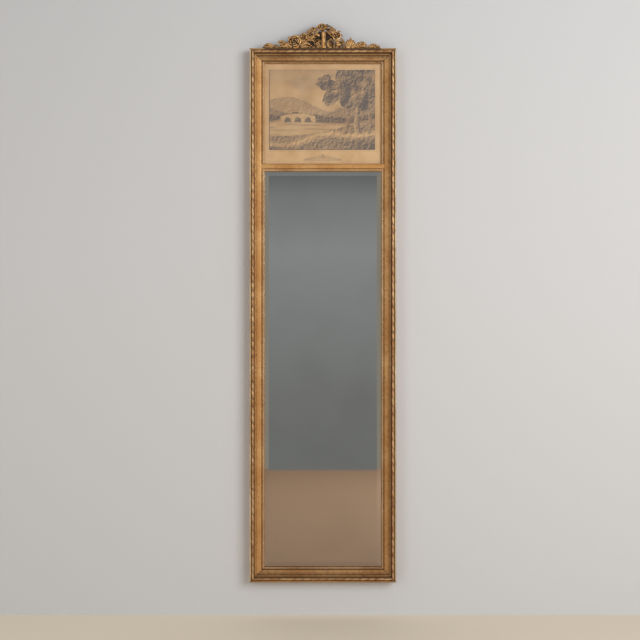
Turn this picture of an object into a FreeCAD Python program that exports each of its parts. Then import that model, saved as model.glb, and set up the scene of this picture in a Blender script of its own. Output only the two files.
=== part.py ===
import FreeCAD, Part
import math
import os
import Sketcher

# Trumeau mirror: a gilded frame that holds a print above and a bevelled mirror plate below,
# with a carved crest on its top rail. All lengths are in millimetres.
# X runs to the right, Z up and Y into the wall, whose face is y = 0, so the front looks along -Y.
# The origin lies midway between the two points where the hanging rings bear on the wall hooks.

doc = FreeCAD.newDocument("trumeau_mirror")
X_AXIS = FreeCAD.Vector(1, 0, 0)
Y_AXIS = FreeCAD.Vector(0, 1, 0)
Z_AXIS = FreeCAD.Vector(0, 0, 1)


# Driving dimensions: alias, value and what it measures.
DIMENSIONS = [
    ("frame_width", 500, "outer width of the frame"),
    ("frame_height", 1820, "outer height of the frame, crest left out"),
    ("moulding_width", 50, "width of the moulding from outer edge to sight edge"),
    ("print_opening_height", 342, "sight height of the print"),
    ("hook_drop", 260, "top of the frame above the bearing points of the rings"),
    ("wall_gap", 8, "frame back to wall"),
    # Moulding profile: widths run inwards from the outer edge, heights forwards from the back.
    ("outer_fillet_width", 5, "flat at the outer edge"),
    ("outer_fillet_height", 33, "front of that flat"),
    ("edge_round", 2, "rounding of the outer front edge"),
    ("ribbon_groove_width", 2.5, "groove outside the ribbon"),
    ("ribbon_groove_height", 29, "floor of that groove"),
    ("ribbon_width", 7.5, "seat of the twisted ribbon"),
    ("ribbon_seat_height", 34, "front of that seat"),
    ("cove_width", 4, "hollow inside the ribbon"),
    ("cove_height", 26, "floor of the hollow"),
    ("bead_width", 4, "half-round bead beside the frieze"),
    ("frieze_line_width", 1.5, "fine groove beside the bead"),
    ("frieze_line_height", 22.5, "floor of the fine groove"),
    ("frieze_outer_height", 24, "frieze at the bead"),
    ("frieze_inner_height", 22.5, "frieze at the pearls"),
    ("pearl_groove_width", 3, "groove between frieze and pearls"),
    ("pearl_groove_height", 18, "floor of that groove"),
    ("pearl_seat_width", 7, "seat of the pearls at the sight edge"),
    ("pearl_seat_height", 19, "front of that seat"),
    ("glass_overlap", 8, "rebate behind the sight edge"),
    ("glass_rebate", 14, "depth of that rebate from the back"),
    ("board_overlap", 18, "rebate for the back boards, from the sight edge"),
    ("board_rebate", 6, "depth of that rebate from the back"),
    # Middle rail.
    ("rail_face", 26, "visible height of the middle rail"),
    ("rail_lip_width", 1.5, "lip under the print"),
    ("rail_lip_height", 21, "front of the lip"),
    ("rail_line_width", 1.5, "fine groove under the lip"),
    ("rail_line_height", 20, "floor of the fine groove"),
    ("dowel_radius", 3, "dowels of the middle rail"),
    ("dowel_depth", 20, "dowel in each of the two pieces"),
    ("key_leg", 38, "leg of the corner keys along each outer edge"),
    ("key_thickness", 3, "thickness of the corner keys"),
    ("key_height", 17, "back of the corner keys above the frame back"),
    # Applied ornament.
    ("pearl_radius", 3.1, "pearls"),
    ("pearl_pitch", 8.4, "wished spacing of the pearls"),
    ("pearl_neck_radius", 1.2, "thread between the pearls"),
    ("ribbon_radius", 3.7, "ribbon at its widest"),
    ("ribbon_waist_radius", 2.3, "ribbon where it crosses"),
    ("ribbon_pitch", 28, "wished length of one turn of the ribbon"),
    ("ribbon_length", 470, "longest piece in which the upright ribbon is made"),
    ("ribbon_joint", 0.1, "joint between two such pieces"),
    # Plates and packing.
    ("rebate_clearance", 1, "play of glass and boards in their rebates"),
    ("mirror_thickness", 4, "mirror plate"),
    ("bevel_width", 22, "bevel of the mirror plate, hidden edge included"),
    ("bevel_depth", 1.6, "glass that the bevel takes off the edge"),
    ("print_glass_thickness", 2, "glass over the print"),
    ("print_sheet_thickness", 0.4, "sheet of the print"),
    ("backing_card_thickness", 1.6, "card behind the print"),
    ("board_thickness", 5, "back boards"),
    ("panel_thickness", 4, "upper back panel"),
    ("board_gap", 0.5, "joint between two boards"),
    ("block_length", 30, "packing blocks"),
    ("block_width", 6.5, "packing blocks"),
    # Screws.
    ("screw_head_radius", 3, "back screws"),
    ("screw_head_height", 2, "back screws"),
    ("screw_radius", 1.4, "shank of the back screws"),
    ("screw_hold", 9, "length of the back screws in the frame"),
    ("screw_hole_play", 0.2, "radial play of a screw in the piece that it holds down"),
    # Hangers.
    ("hanger_inset", 16, "hangers and bumpers from the outer edge"),
    ("strap_width", 14, "hanger strap"),
    ("strap_thickness", 1.5, "hanger strap"),
    ("strap_length", 45, "hanger strap below the pivot"),
    ("ring_wire_radius", 1.75, "wire of the hanging ring"),
    ("ring_width", 22, "ring, between the centres of its legs"),
    ("ring_height", 22, "ring, from the pivot to the centre of its top"),
    ("ring_corner_radius", 3, "lower corners of the ring"),
    ("ring_play", 0.1, "radial play of the ring in its loop"),
    ("ring_lean_gap", 0.4, "ring at rest to the frame back"),
    ("upper_strap_hole", 12, "upper strap screw below the pivot"),
    ("lower_strap_hole", 35, "lower strap screw below the pivot"),
    ("bumper_radius", 10, "rubber bumpers"),
    ("bumper_inset", 30, "bumpers from the top and bottom of the frame"),
    ("bumper_recess", 4, "depth of the bumper's recess for its tack"),
    ("tack_head_radius", 3.2, "bumper tacks"),
    ("tack_head_height", 1.4, "bumper tacks"),
    ("tack_radius", 1.3, "bumper tacks"),
    ("tack_hold", 9, "length of a tack in the frame"),
    # Crest.
    ("crest_back", 28, "back of the crest board in front of the wall"),
    ("crest_board_thickness", 8, "crest board"),
    ("crest_base_height", 5, "strip at the foot of the crest board"),
    ("crest_stem_width", 8, "main stems of the crest board between its carvings"),
    ("crest_twig_width", 6, "thin stems of the crest board"),
    ("carving_gap", 0.5, "least space between two carvings"),
    ("torch_middle", 2.5, "axis of the torch, right of the frame's middle"),
    ("torch_width", 17, "torch"),
    ("torch_height", 58, "torch"),
    ("torch_rise", 10, "torch in front of the crest board"),
    ("crown_radius", 14, "crowning flower"),
    ("crown_shift", 5.5, "crowning flower left of the torch's axis"),
    ("left_volute_radius", 14.2, "volute left of the torch"),
    ("right_volute_radius", 13.5, "volute right of the torch"),
    ("shell_radius", 14.5, "shell curl right of the volute"),
    ("rose_radius", 21.5, "rose"),
    ("blossom_radius", 12.5, "open blossom above the laurel"),
    ("small_blossom_radius", 12.5, "blossom between rose and open blossom"),
    ("bud_radius", 8, "bud above the open blossom"),
    ("garland_radius", 14, "flower of the right garland"),
    ("leaf_rise", 9, "large leaves in front of the crest board"),
    ("low_leaf_rise", 7, "end leaves and strand in front of the crest board"),
    ("leaf_foot", 4, "root of a leaf above the frame's top"),
    ("leaf_tip", 5, "drooping tip of a leaf above the frame's top"),
    ("laurel_length", 40, "leaf between the left volute and the rose"),
    ("laurel_width", 17, "leaf between the left volute and the rose"),
    ("laurel_height", 23, "leaf between the left volute and the rose"),
    ("cluster_gap", 6, "space on both sides of the pointed leaf cluster"),
    ("cluster_width", 38, "pointed leaf cluster"),
    ("cluster_height", 39, "pointed leaf cluster"),
    ("cluster_rise", 11, "pointed leaf cluster in front of the crest board"),
    ("curl_length", 35, "curled leaves"),
    ("curl_width", 14, "curled leaves"),
    ("left_curl_height", 28, "left curled leaf"),
    ("right_curl_height", 22, "right curled leaf"),
    ("end_leaf_width", 9, "low leaves at the ends of the crest"),
    ("left_end_leaf_length", 35, "low leaf at the left end"),
    ("left_end_leaf_height", 17, "low leaf at the left end"),
    ("left_end_gap", 16, "bare strip before the left end leaf"),
    ("right_end_leaf_length", 38, "low leaf at the right end"),
    ("right_end_leaf_height", 14, "low leaf at the right end"),
    ("right_end_gap", 3, "space before the right end leaf"),
    ("petal_width", 9, "loose petal between blossom and torch"),
    ("bow_width", 11, "ribbon end right of the crowning flower"),
    ("bow_reach", 23, "tip of that ribbon end, right of the torch"),
    ("bow_lift", 3, "tip of that ribbon end, above the torch"),
    ("strand_width", 8, "strand from the torch's top to the garland flower"),
    ("strand_reach", 22, "tip of the strand, right of the torch"),
    ("strand_drop", 10, "tip of the strand, below the torch's top"),
    ("bracket_width", 14, "steel brackets behind the crest"),
    ("bracket_height", 30, "steel brackets behind the crest"),
    ("bracket_reach", 16, "leg of the brackets on the top rail"),
    ("bracket_thickness", 1.5, "steel brackets behind the crest"),
    ("bracket_screw_radius", 1.2, "screws of the brackets"),
    ("bracket_screw_head_radius", 2.5, "screws of the brackets"),
    ("bracket_screw_head_height", 1.4, "screws of the brackets"),
    ("bracket_screw_hold", 6, "length of a bracket screw in the wood"),
]


class Size:
    """A length that knows its number and the formula by which the document keeps it."""

    def __init__(self, number, formula):
        self.number = float(number)
        self.formula = formula

    def joined(self, sign, other, number):
        return Size(number, "(%s %s %s)" % (self.formula, sign, sized(other).formula))

    def __add__(self, other):
        return self.joined("+", other, self.number + sized(other).number)

    def __sub__(self, other):
        return self.joined("-", other, self.number - sized(other).number)

    def __mul__(self, other):
        return self.joined("*", other, self.number * sized(other).number)

    def __truediv__(self, other):
        return self.joined("/", other, self.number / sized(other).number)

    def __neg__(self):
        return sized(0) - self

    def __radd__(self, other):
        return sized(other) + self

    def __rsub__(self, other):
        return sized(other) - self

    def __rmul__(self, other):
        return sized(other) * self


def sized(value):
    if isinstance(value, Size):
        return value
    return Size(value, repr(float(value)))


def writeSheet():
    """Puts the driving dimensions in the document's spreadsheet and returns them by name."""
    sheet = doc.addObject("Spreadsheet::Sheet", "Sizes")
    sizes = {}
    for row, (alias, value, meaning) in enumerate(DIMENSIONS, start=1):
        sheet.set("A%d" % row, alias)
        sheet.set("B%d" % row, str(value))
        sheet.set("C%d" % row, meaning)
        sheet.setAlias("B%d" % row, alias)
        sizes[alias] = Size(value, "Sizes." + alias)
    doc.recompute()
    return sizes


size = writeSheet()

# Places that several pieces share, as formulas of the driving dimensions.
halfWidth = size["frame_width"] / 2
frameTop = size["hook_drop"]
frameBottom = frameTop - size["frame_height"]
halfOpening = halfWidth - size["moulding_width"]
printTop = frameTop - size["moulding_width"]
printBottom = printTop - size["print_opening_height"]
mirrorTop = printBottom - size["rail_face"]
mirrorBottom = frameBottom + size["moulding_width"]
railMiddle = printBottom - size["rail_face"] / 2
sightInset = size["pearl_seat_width"] + size["pearl_groove_width"]
boardNames = ["mirror_back_board_upper", "mirror_back_board_middle", "mirror_back_board_lower"]
screwInset = (size["board_overlap"] + size["glass_overlap"]) / 2
screwColumn = halfOpening + screwInset
dowelHeight = (size["board_rebate"] + size["glass_rebate"]) / 2
pivotHeight = size["ring_wire_radius"] - size["ring_height"]
pivotDepth = size["ring_wire_radius"] + size["ring_play"] + size["strap_thickness"]


def depth(height):
    """World y of a height above the frame back."""
    return -size["wall_gap"] - height


# ---- Helpers that make and place document objects ----

def bind(item, path, value):
    value = sized(value)
    if "Sizes." in value.formula:
        item.setExpression(path, value.formula)


def place(item, corner, rotation=None):
    """Puts an object's own origin at a corner given by three sizes, and binds it there."""
    numbers = [sized(value).number for value in corner]
    turn = rotation if rotation else FreeCAD.Rotation()
    item.Placement = FreeCAD.Placement(FreeCAD.Vector(*numbers), turn)
    for axis, value in zip("xyz", corner):
        bind(item, "Placement.Base." + axis, value)


def setSize(item, name, value):
    setattr(item, name, sized(value).number)
    bind(item, name, value)


def newBody(label):
    body = doc.addObject("PartDesign::Body", label)
    body.Label = label
    return body


def originPlane(body, role):
    for feature in body.Origin.OriginFeatures:
        if feature.Role == role:
            return feature
    raise ValueError("no plane " + role)


def newSketch(body, name, role, lift=0):
    """A sketch on one of the body's origin planes, lifted along the plane's normal."""
    sketch = body.newObject("Sketcher::SketchObject", name)
    sketch.AttachmentSupport = (originPlane(body, role), [""])
    sketch.MapMode = "FlatFace"
    sketch.AttachmentOffset = FreeCAD.Placement(FreeCAD.Vector(0, 0, sized(lift).number), FreeCAD.Rotation())
    bind(sketch, "AttachmentOffset.Base.z", lift)
    return sketch


def straight(here, there):
    return Part.LineSegment(FreeCAD.Vector(*here, 0), FreeCAD.Vector(*there, 0))


def roundEdge(here, there, centre, turn):
    """An arc from here to there about a centre; turn is 1 for anticlockwise and -1 for clockwise."""
    first, last = (here, there) if turn > 0 else (there, here)
    radius = math.dist(here, centre)
    start = math.atan2(first[1] - centre[1], first[0] - centre[0])
    end = math.atan2(last[1] - centre[1], last[0] - centre[0])
    if end <= start:
        end += 2 * math.pi
    circle = Part.Circle(FreeCAD.Vector(*centre, 0), Z_AXIS, radius)
    return Part.ArcOfCircle(circle, start, end)


def drawOutline(sketch, corners):
    """Draws a closed outline. A corner is (x, y), or (x, y, centre x, centre y, turn) where the
    edge that leads to it is an arc. Every corner and centre height is bound to the sheet."""
    flat = [(sized(corner[0]).number, sized(corner[1]).number) for corner in corners]
    count = len(corners)
    first = len(sketch.Geometry)
    starts = []
    ends = []
    for index in range(count):
        here = flat[index - 1]
        there = flat[index]
        if len(corners[index]) == 2:
            sketch.addGeometry(straight(here, there), False)
            starts.append(1)
            ends.append(2)
            continue
        centre = (sized(corners[index][2]).number, sized(corners[index][3]).number)
        turn = corners[index][4]
        sketch.addGeometry(roundEdge(here, there, centre, turn), False)
        starts.append(1 if turn > 0 else 2)
        ends.append(2 if turn > 0 else 1)
    for index, corner in enumerate(corners):
        edge = first + index
        following = first + (index + 1) % count
        sketch.addConstraint(Sketcher.Constraint(
            "Coincident", edge, ends[index], following, starts[(index + 1) % count]))
        fixPoint(sketch, "DistanceX", edge, ends[index], corner[0])
        fixPoint(sketch, "DistanceY", edge, ends[index], corner[1])
        if len(corner) > 2:
            fixPoint(sketch, "DistanceY", edge, 3, corner[3])


def fixPoint(sketch, kind, edge, point, value):
    number = sketch.addConstraint(Sketcher.Constraint(kind, -1, 1, edge, point, sized(value).number))
    bind(sketch, "Constraints[%d]" % number, value)


def addPad(body, name, sketch, length):
    pad = body.newObject("PartDesign::Pad", name)
    pad.Profile = sketch
    setSize(pad, "Length", length)
    return pad


def addPocket(body, name, sketch, length=None):
    """Cuts away from the sketch's normal, to a length or right through."""
    pocket = body.newObject("PartDesign::Pocket", name)
    pocket.Profile = sketch
    if length is None:
        pocket.Type = "ThroughAll"
    else:
        setSize(pocket, "Length", length)
    return pocket


def drill(body, name, base, direction, radius, length):
    """A round hole in a body, in the body's own coordinates."""
    hole = body.newObject("PartDesign::SubtractiveCylinder", name)
    setSize(hole, "Radius", radius)
    setSize(hole, "Height", length)
    place(hole, base, FreeCAD.Rotation(Z_AXIS, direction))
    return hole


def addBox(name, low, high):
    """A box between two corners given as sizes."""
    box = doc.addObject("Part::Box", name)
    setSize(box, "Length", sized(high[0]) - low[0])
    setSize(box, "Width", sized(high[1]) - low[1])
    setSize(box, "Height", sized(high[2]) - low[2])
    place(box, low)
    return box


def addCylinder(name, base, direction, radius, length):
    cylinder = doc.addObject("Part::Cylinder", name)
    setSize(cylinder, "Radius", radius)
    setSize(cylinder, "Height", length)
    place(cylinder, base, FreeCAD.Rotation(Z_AXIS, direction))
    return cylinder


def fuse(label, parts):
    joined = doc.addObject("Part::MultiFuse", label)
    joined.Shapes = parts
    joined.Refine = True
    joined.Label = label
    return joined


def cut(label, base, tools):
    tool = tools[0] if len(tools) == 1 else fuse(label + "_holes", tools)
    result = doc.addObject("Part::Cut", label)
    result.Base = base
    result.Tool = tool
    result.Label = label
    return result


def shaped(label, shape):
    """A piece whose form only its own geometry gives, such as a carving or a group of screws."""
    item = doc.addObject("Part::Feature", label)
    item.Shape = shape
    item.Label = label
    return item


def turned(acrossX, acrossZ):
    """Rotation that lays a member's own u, v and s axes in the world: v runs forwards."""
    forward = FreeCAD.Vector(0, -1, 0)
    inward = FreeCAD.Vector(acrossX, 0, acrossZ)
    return FreeCAD.Rotation(inward, forward, inward.cross(forward), "XYZ")


# ---- Frame members: u runs inwards from the outer edge, v forwards from the back, s along ----

def mouldingCorners():
    """Section of the moulding, anticlockwise from its outer back corner."""
    width = size["moulding_width"]
    fillet = size["outer_fillet_width"]
    groove = fillet + size["ribbon_groove_width"]
    ribbon = groove + size["ribbon_width"]
    cove = ribbon + size["cove_width"]
    bead = cove + size["bead_width"]
    line = bead + size["frieze_line_width"]
    seat = width - size["pearl_seat_width"]
    edge = seat - size["pearl_groove_width"]
    boards = width - size["board_overlap"]
    glass = width - size["glass_overlap"]
    coveTop = size["cove_height"] + size["cove_width"]
    edgeRound = size["edge_round"]
    top = size["outer_fillet_height"]
    return [
        (0, 0),
        (boards, 0),
        (boards, size["board_rebate"]),
        (glass, size["board_rebate"]),
        (glass, size["glass_rebate"]),
        (width, size["glass_rebate"]),
        (width, size["pearl_seat_height"]),
        (seat, size["pearl_seat_height"]),
        (seat, size["pearl_groove_height"]),
        (edge, size["pearl_groove_height"]),
        (edge, size["frieze_inner_height"]),
        (line, size["frieze_outer_height"]),
        (line, size["frieze_line_height"]),
        (bead, size["frieze_line_height"]),
        (bead, size["cove_height"]),
        (cove, size["cove_height"], cove + size["bead_width"] / 2, size["cove_height"], 1),
        (ribbon, coveTop, cove, coveTop, -1),
        (ribbon, size["ribbon_seat_height"]),
        (groove, size["ribbon_seat_height"]),
        (groove, size["ribbon_groove_height"]),
        (fillet, size["ribbon_groove_height"]),
        (fillet, top),
        (edgeRound, top),
        (0, top - edgeRound, edgeRound, top - edgeRound, 1),
    ]


def mouldedMember(label, length, corner, rotation):
    """One length of moulding with mitred ends and a slot for the corner key at each end."""
    body = newBody(label)
    section = newSketch(body, label + "_section", "XY_Plane")
    drawOutline(section, mouldingCorners())
    addPad(body, label + "_length", section, length)
    width = size["moulding_width"]
    mitres = newSketch(body, label + "_mitre_lines", "XZ_Plane")
    drawOutline(mitres, [(0, 0), (width, 0), (width, width)])
    drawOutline(mitres, [(0, length), (width, length - width), (width, length)])
    addPocket(body, label + "_mitres", mitres)
    leg = size["key_leg"]
    slots = newSketch(body, label + "_key_lines", "XZ_Plane", -size["key_height"])
    drawOutline(slots, [(0, 0), (leg, 0), (0, leg)])
    drawOutline(slots, [(0, length), (0, length - leg), (leg, length)])
    addPocket(body, label + "_key_slots", slots, size["key_thickness"])
    place(body, corner, rotation)
    return body


def houseRail(body, label, low, high, dowel):
    """Cuts a stile from low to high, where the middle rail's flat runs over its pearl seat, and
    bores the hole of the rail's dowel. All three are lengths along the stile."""
    width = size["moulding_width"]
    edge = width - sightInset
    housing = newSketch(body, label + "_housing_lines", "XZ_Plane", -size["glass_rebate"])
    drawOutline(housing, [(edge, low), (edge, high), (width + 1, high), (width + 1, low)])
    addPocket(body, label + "_housing", housing)
    start = width - size["glass_overlap"] - size["dowel_depth"]
    drill(body, label + "_dowel_hole", (start, dowelHeight, dowel), X_AXIS,
          size["dowel_radius"], size["dowel_depth"] + 1)


def drillBack(body, label, places, floor, hold, radius):
    """Screw holes in a member's back at (u, s) places, from a floor above the back inwards."""
    for number, (u, s) in enumerate(places, start=1):
        drill(body, "%s_%d" % (label, number), (u, floor, s), Y_AXIS, radius, hold)


def makeFrame():
    """The four mitred members and the middle rail between the stiles."""
    height = size["frame_height"]
    width = size["frame_width"]
    back = depth(0)
    flatEnd = mirrorTop + size["pearl_seat_width"]
    left = mouldedMember("left_stile", height, (-halfWidth, back, frameTop), turned(1, 0))
    houseRail(left, "left_stile", frameTop - printBottom, frameTop - flatEnd, frameTop - railMiddle)
    right = mouldedMember("right_stile", height, (halfWidth, back, frameBottom), turned(-1, 0))
    houseRail(right, "right_stile", flatEnd - frameBottom, printBottom - frameBottom,
              railMiddle - frameBottom)
    top = mouldedMember("top_rail", width, (halfWidth, back, frameTop), turned(0, -1))
    bottom = mouldedMember("bottom_rail", width, (-halfWidth, back, frameBottom), turned(0, 1))

    board = size["board_rebate"]
    hold = size["screw_hold"]
    screw = size["screw_radius"]
    row = size["moulding_width"] - screwInset
    heights = sideScrewHeights()
    drillBack(left, "left_board_hole", [(row, frameTop - z) for z in heights], board, hold, screw)
    drillBack(right, "right_board_hole", [(row, z - frameBottom) for z in heights], board, hold, screw)
    columns = endScrewColumns()
    drillBack(top, "top_panel_hole", [(row, halfWidth - x) for x in columns], board, hold, screw)
    drillBack(bottom, "bottom_board_hole", [(row, x + halfWidth) for x in columns], board, hold, screw)

    inset = size["hanger_inset"]
    straps = [pivotHeight - size["upper_strap_hole"], pivotHeight - size["lower_strap_hole"]]
    drillBack(left, "left_strap_hole", [(inset, frameTop - z) for z in straps], 0, hold, screw)
    drillBack(right, "right_strap_hole", [(inset, z - frameBottom) for z in straps], 0, hold, screw)
    bumpers = bumperHeights()
    tack = size["tack_radius"]
    grip = size["tack_hold"]
    drillBack(left, "left_tack_hole", [(inset, frameTop - z) for z in bumpers], 0, grip, tack)
    drillBack(right, "right_tack_hole", [(inset, z - frameBottom) for z in bumpers], 0, grip, tack)

    for number, (x, y) in enumerate(bracketFootScrews(), start=1):
        drill(top, "crest_foot_hole_%d" % number, (0, -size["wall_gap"] - y, halfWidth - x), X_AXIS,
              size["bracket_screw_radius"], size["bracket_screw_hold"])
    makeMiddleRail()


def makeMiddleRail():
    """The plain rail under the print: a flat let into the stiles, a pearl seat and a back tongue.
    Here u runs down from the rail's top edge."""
    face = size["rail_face"]
    flatEnd = face - size["pearl_seat_width"]
    grooveStart = flatEnd - size["pearl_groove_width"]
    lip = size["rail_lip_width"]
    line = lip + size["rail_line_width"]
    floor = size["glass_rebate"]
    flat = size["frieze_inner_height"]
    body = newBody("middle_rail")
    section = newSketch(body, "middle_rail_flat_section", "XY_Plane", -sightInset)
    drawOutline(section, [
        (0, floor),
        (flatEnd, floor),
        (flatEnd, size["pearl_groove_height"]),
        (grooveStart, size["pearl_groove_height"]),
        (grooveStart, flat),
        (line, flat),
        (line, size["rail_line_height"]),
        (lip, size["rail_line_height"]),
        (lip, size["rail_lip_height"]),
        (0, size["rail_lip_height"]),
    ])
    opening = halfOpening * 2
    addPad(body, "middle_rail_flat", section, opening + sightInset * 2)
    seat = newSketch(body, "middle_rail_seat_section", "XY_Plane")
    drawOutline(seat, [(flatEnd, floor), (face, floor), (face, size["pearl_seat_height"]),
                       (flatEnd, size["pearl_seat_height"])])
    addPad(body, "middle_rail_seat", seat, opening)
    overlap = size["glass_overlap"]
    tongue = newSketch(body, "middle_rail_tongue_section", "XY_Plane", -overlap)
    drawOutline(tongue, [(overlap, size["board_rebate"]), (face - overlap, size["board_rebate"]),
                         (face - overlap, floor), (overlap, floor)])
    addPad(body, "middle_rail_tongue", tongue, opening + overlap * 2)
    bore = size["dowel_depth"]
    for name, start in (("right", -overlap), ("left", opening + overlap - bore)):
        drill(body, "middle_rail_%s_dowel_hole" % name, (face / 2, dowelHeight, start), Z_AXIS,
              size["dowel_radius"], bore)
    place(body, (halfOpening, depth(0), printBottom), turned(0, -1))


def makeJoinery():
    """Keys across the four mitres and the two dowels of the middle rail."""
    leg = size["key_leg"].number
    back = depth(size["key_height"]).number
    keys = []
    for side in (-1, 1):
        for end, inward in ((frameTop, -1), (frameBottom, 1)):
            x = side * halfWidth.number
            z = end.number
            outline = Part.makePolygon([
                FreeCAD.Vector(x, back, z),
                FreeCAD.Vector(x - side * leg, back, z),
                FreeCAD.Vector(x, back, z + inward * leg),
                FreeCAD.Vector(x, back, z)])
            thickness = FreeCAD.Vector(0, -size["key_thickness"].number, 0)
            keys.append(Part.Face(outline).extrude(thickness))
    shaped("corner_keys", Part.makeCompound(keys))

    reach = (halfOpening + size["glass_overlap"]).number
    bore = size["dowel_depth"].number
    dowels = []
    for side in (-1, 1):
        start = FreeCAD.Vector(side * reach - bore, depth(dowelHeight).number, railMiddle.number)
        dowels.append(Part.makeCylinder(size["dowel_radius"].number, 2 * bore, start, X_AXIS))
    shaped("middle_rail_dowels", Part.makeCompound(dowels))


# ---- Applied ornament: half-round runs with their flat backs on the moulding's seats ----

def runAlongX(x, y, z):
    """Placement of a run that starts at a point and goes to the right, bulging forwards."""
    turn = FreeCAD.Rotation(X_AXIS, Z_AXIS, -Y_AXIS, "XYZ")
    return FreeCAD.Placement(FreeCAD.Vector(x, y, z), turn)


def runAlongZ(x, y, z):
    """Placement of a run that starts at a point and goes up, bulging forwards."""
    turn = FreeCAD.Rotation(Z_AXIS, -X_AXIS, -Y_AXIS, "XYZ")
    return FreeCAD.Placement(FreeCAD.Vector(x, y, z), turn)


def halfTurned(edges):
    """Half a turn of an outline that is drawn above the X axis and closed along it."""
    start = edges[0].Vertexes[0].Point
    end = edges[-1].Vertexes[-1].Point
    foot = FreeCAD.Vector(end.x, 0, 0)
    heel = FreeCAD.Vector(start.x, 0, 0)
    edges = edges + [Part.makeLine(end, foot), Part.makeLine(foot, heel), Part.makeLine(heel, start)]
    return Part.Face(Part.Wire(edges)).revolve(FreeCAD.Vector(), X_AXIS, 180)


def swell(middle, reach, waist, top):
    """An arc over one pearl, from neck to top to neck."""
    return Part.Arc(FreeCAD.Vector(middle - reach, waist, 0), FreeCAD.Vector(middle, top, 0),
                    FreeCAD.Vector(middle + reach, waist, 0)).toShape()


def pearlRun(count, pitch):
    """A thread of half pearls; the first one is centred on the start."""
    radius = size["pearl_radius"].number
    neck = size["pearl_neck_radius"].number
    reach = math.sqrt(radius ** 2 - neck ** 2)
    edges = []
    for index in range(count):
        middle = index * pitch
        if index:
            edges.append(Part.makeLine(FreeCAD.Vector(middle - pitch + reach, neck, 0),
                                       FreeCAD.Vector(middle - reach, neck, 0)))
        edges.append(swell(middle, reach, neck, radius))
    return halfTurned(edges)


def halfOctagon(x, radius):
    """Section of the ribbon across its run, with its flat side down."""
    angles = [math.radians(degrees) for degrees in range(0, 181, 45)]
    corners = [FreeCAD.Vector(x, radius * math.cos(angle), radius * math.sin(angle)) for angle in angles]
    return Part.makePolygon(corners + corners[:1])


def ribbonRun(length, pieces):
    """Ribbon twisted on a rod, in equal pieces end to end, each with as many turns as fit. Each turn
    widens from its crossing to its middle and narrows again, with flat facets."""
    joint = size["ribbon_joint"].number
    step = (length + joint) / pieces
    reach = step - joint
    count = max(1, round(reach / size["ribbon_pitch"].number))
    pitch = reach / count
    waist = size["ribbon_waist_radius"].number
    top = size["ribbon_radius"].number
    sections = [halfOctagon(0, waist)]
    for index in range(count):
        sections.append(halfOctagon((index + 0.5) * pitch, top))
        sections.append(halfOctagon((index + 1) * pitch, waist))
    piece = Part.makeLoft(sections, True, True)
    return Part.makeCompound([piece.translated(FreeCAD.Vector(number * step, 0, 0))
                              for number in range(pieces)])


def placed(label, shape, placement):
    item = shaped(label, shape)
    item.Placement = placement
    return item


def makePearls():
    """Rows of pearls: four round the mirror, three round the print."""
    seat = size["pearl_seat_width"].number
    wished = size["pearl_pitch"].number
    y = depth(size["pearl_seat_height"]).number
    column = halfOpening.number + seat / 2
    width = 2 * column
    across = round(width / wished)
    step = width / across

    low = mirrorBottom.number - seat / 2
    high = mirrorTop.number + seat / 2
    up = round((high - low) / wished)
    for name, side in (("left", -1), ("right", 1)):
        placed("mirror_pearls_" + name, pearlRun(up + 1, (high - low) / up),
               runAlongZ(side * column, y, low))
    for name, z in (("bottom", low), ("top", high)):
        placed("mirror_pearls_" + name, pearlRun(across - 1, step),
               runAlongX(step - column, y, z))

    # The print's side rows end half a pitch above the middle rail.
    top = printTop.number + seat / 2
    reach = top - printBottom.number
    rise = reach / (round(reach / wished - 0.5) + 0.5)
    count = round(reach / rise + 0.5)
    for name, side in (("left", -1), ("right", 1)):
        placed("print_pearls_" + name, pearlRun(count, rise),
               runAlongZ(side * column, y, top - (count - 1) * rise))
    placed("print_pearls_top", pearlRun(across - 1, step), runAlongX(step - column, y, top))


def makeRibbons():
    """Twisted ribbon on the four sides; the upright runs pass the ends of the level ones."""
    y = depth(size["ribbon_seat_height"]).number
    groove = (size["outer_fillet_width"] + size["ribbon_groove_width"]).number
    width = size["ribbon_width"].number
    column = halfWidth.number - groove - width / 2
    tall = size["frame_height"].number - 2 * groove
    wide = size["frame_width"].number - 2 * (groove + width)
    pieces = math.ceil(tall / size["ribbon_length"].number)
    for name, side in (("left", -1), ("right", 1)):
        placed("ribbon_" + name, ribbonRun(tall, pieces),
               runAlongZ(side * column, y, frameBottom.number + groove))
    for name, z in (("top", frameTop.number - groove - width / 2),
                    ("bottom", frameBottom.number + groove + width / 2)):
        placed("ribbon_" + name, ribbonRun(wide, 1), runAlongX(-wide / 2, y, z))


# ---- Print, mirror plate and what holds them ----

def makePrint():
    """Glass, sheet, card and back panel, one behind the other in the upper opening."""
    reach = halfOpening + size["glass_overlap"] - size["rebate_clearance"]
    low = printBottom - size["glass_overlap"] + size["rebate_clearance"]
    high = printTop + size["glass_overlap"] - size["rebate_clearance"]
    front = size["glass_rebate"]
    for label, thickness in (("print_glass", size["print_glass_thickness"]),
                             ("print_sheet", size["print_sheet_thickness"]),
                             ("print_backing_card", size["backing_card_thickness"])):
        addBox(label, (-reach, depth(front), low), (reach, depth(front - thickness), high))
        front = front - thickness


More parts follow.
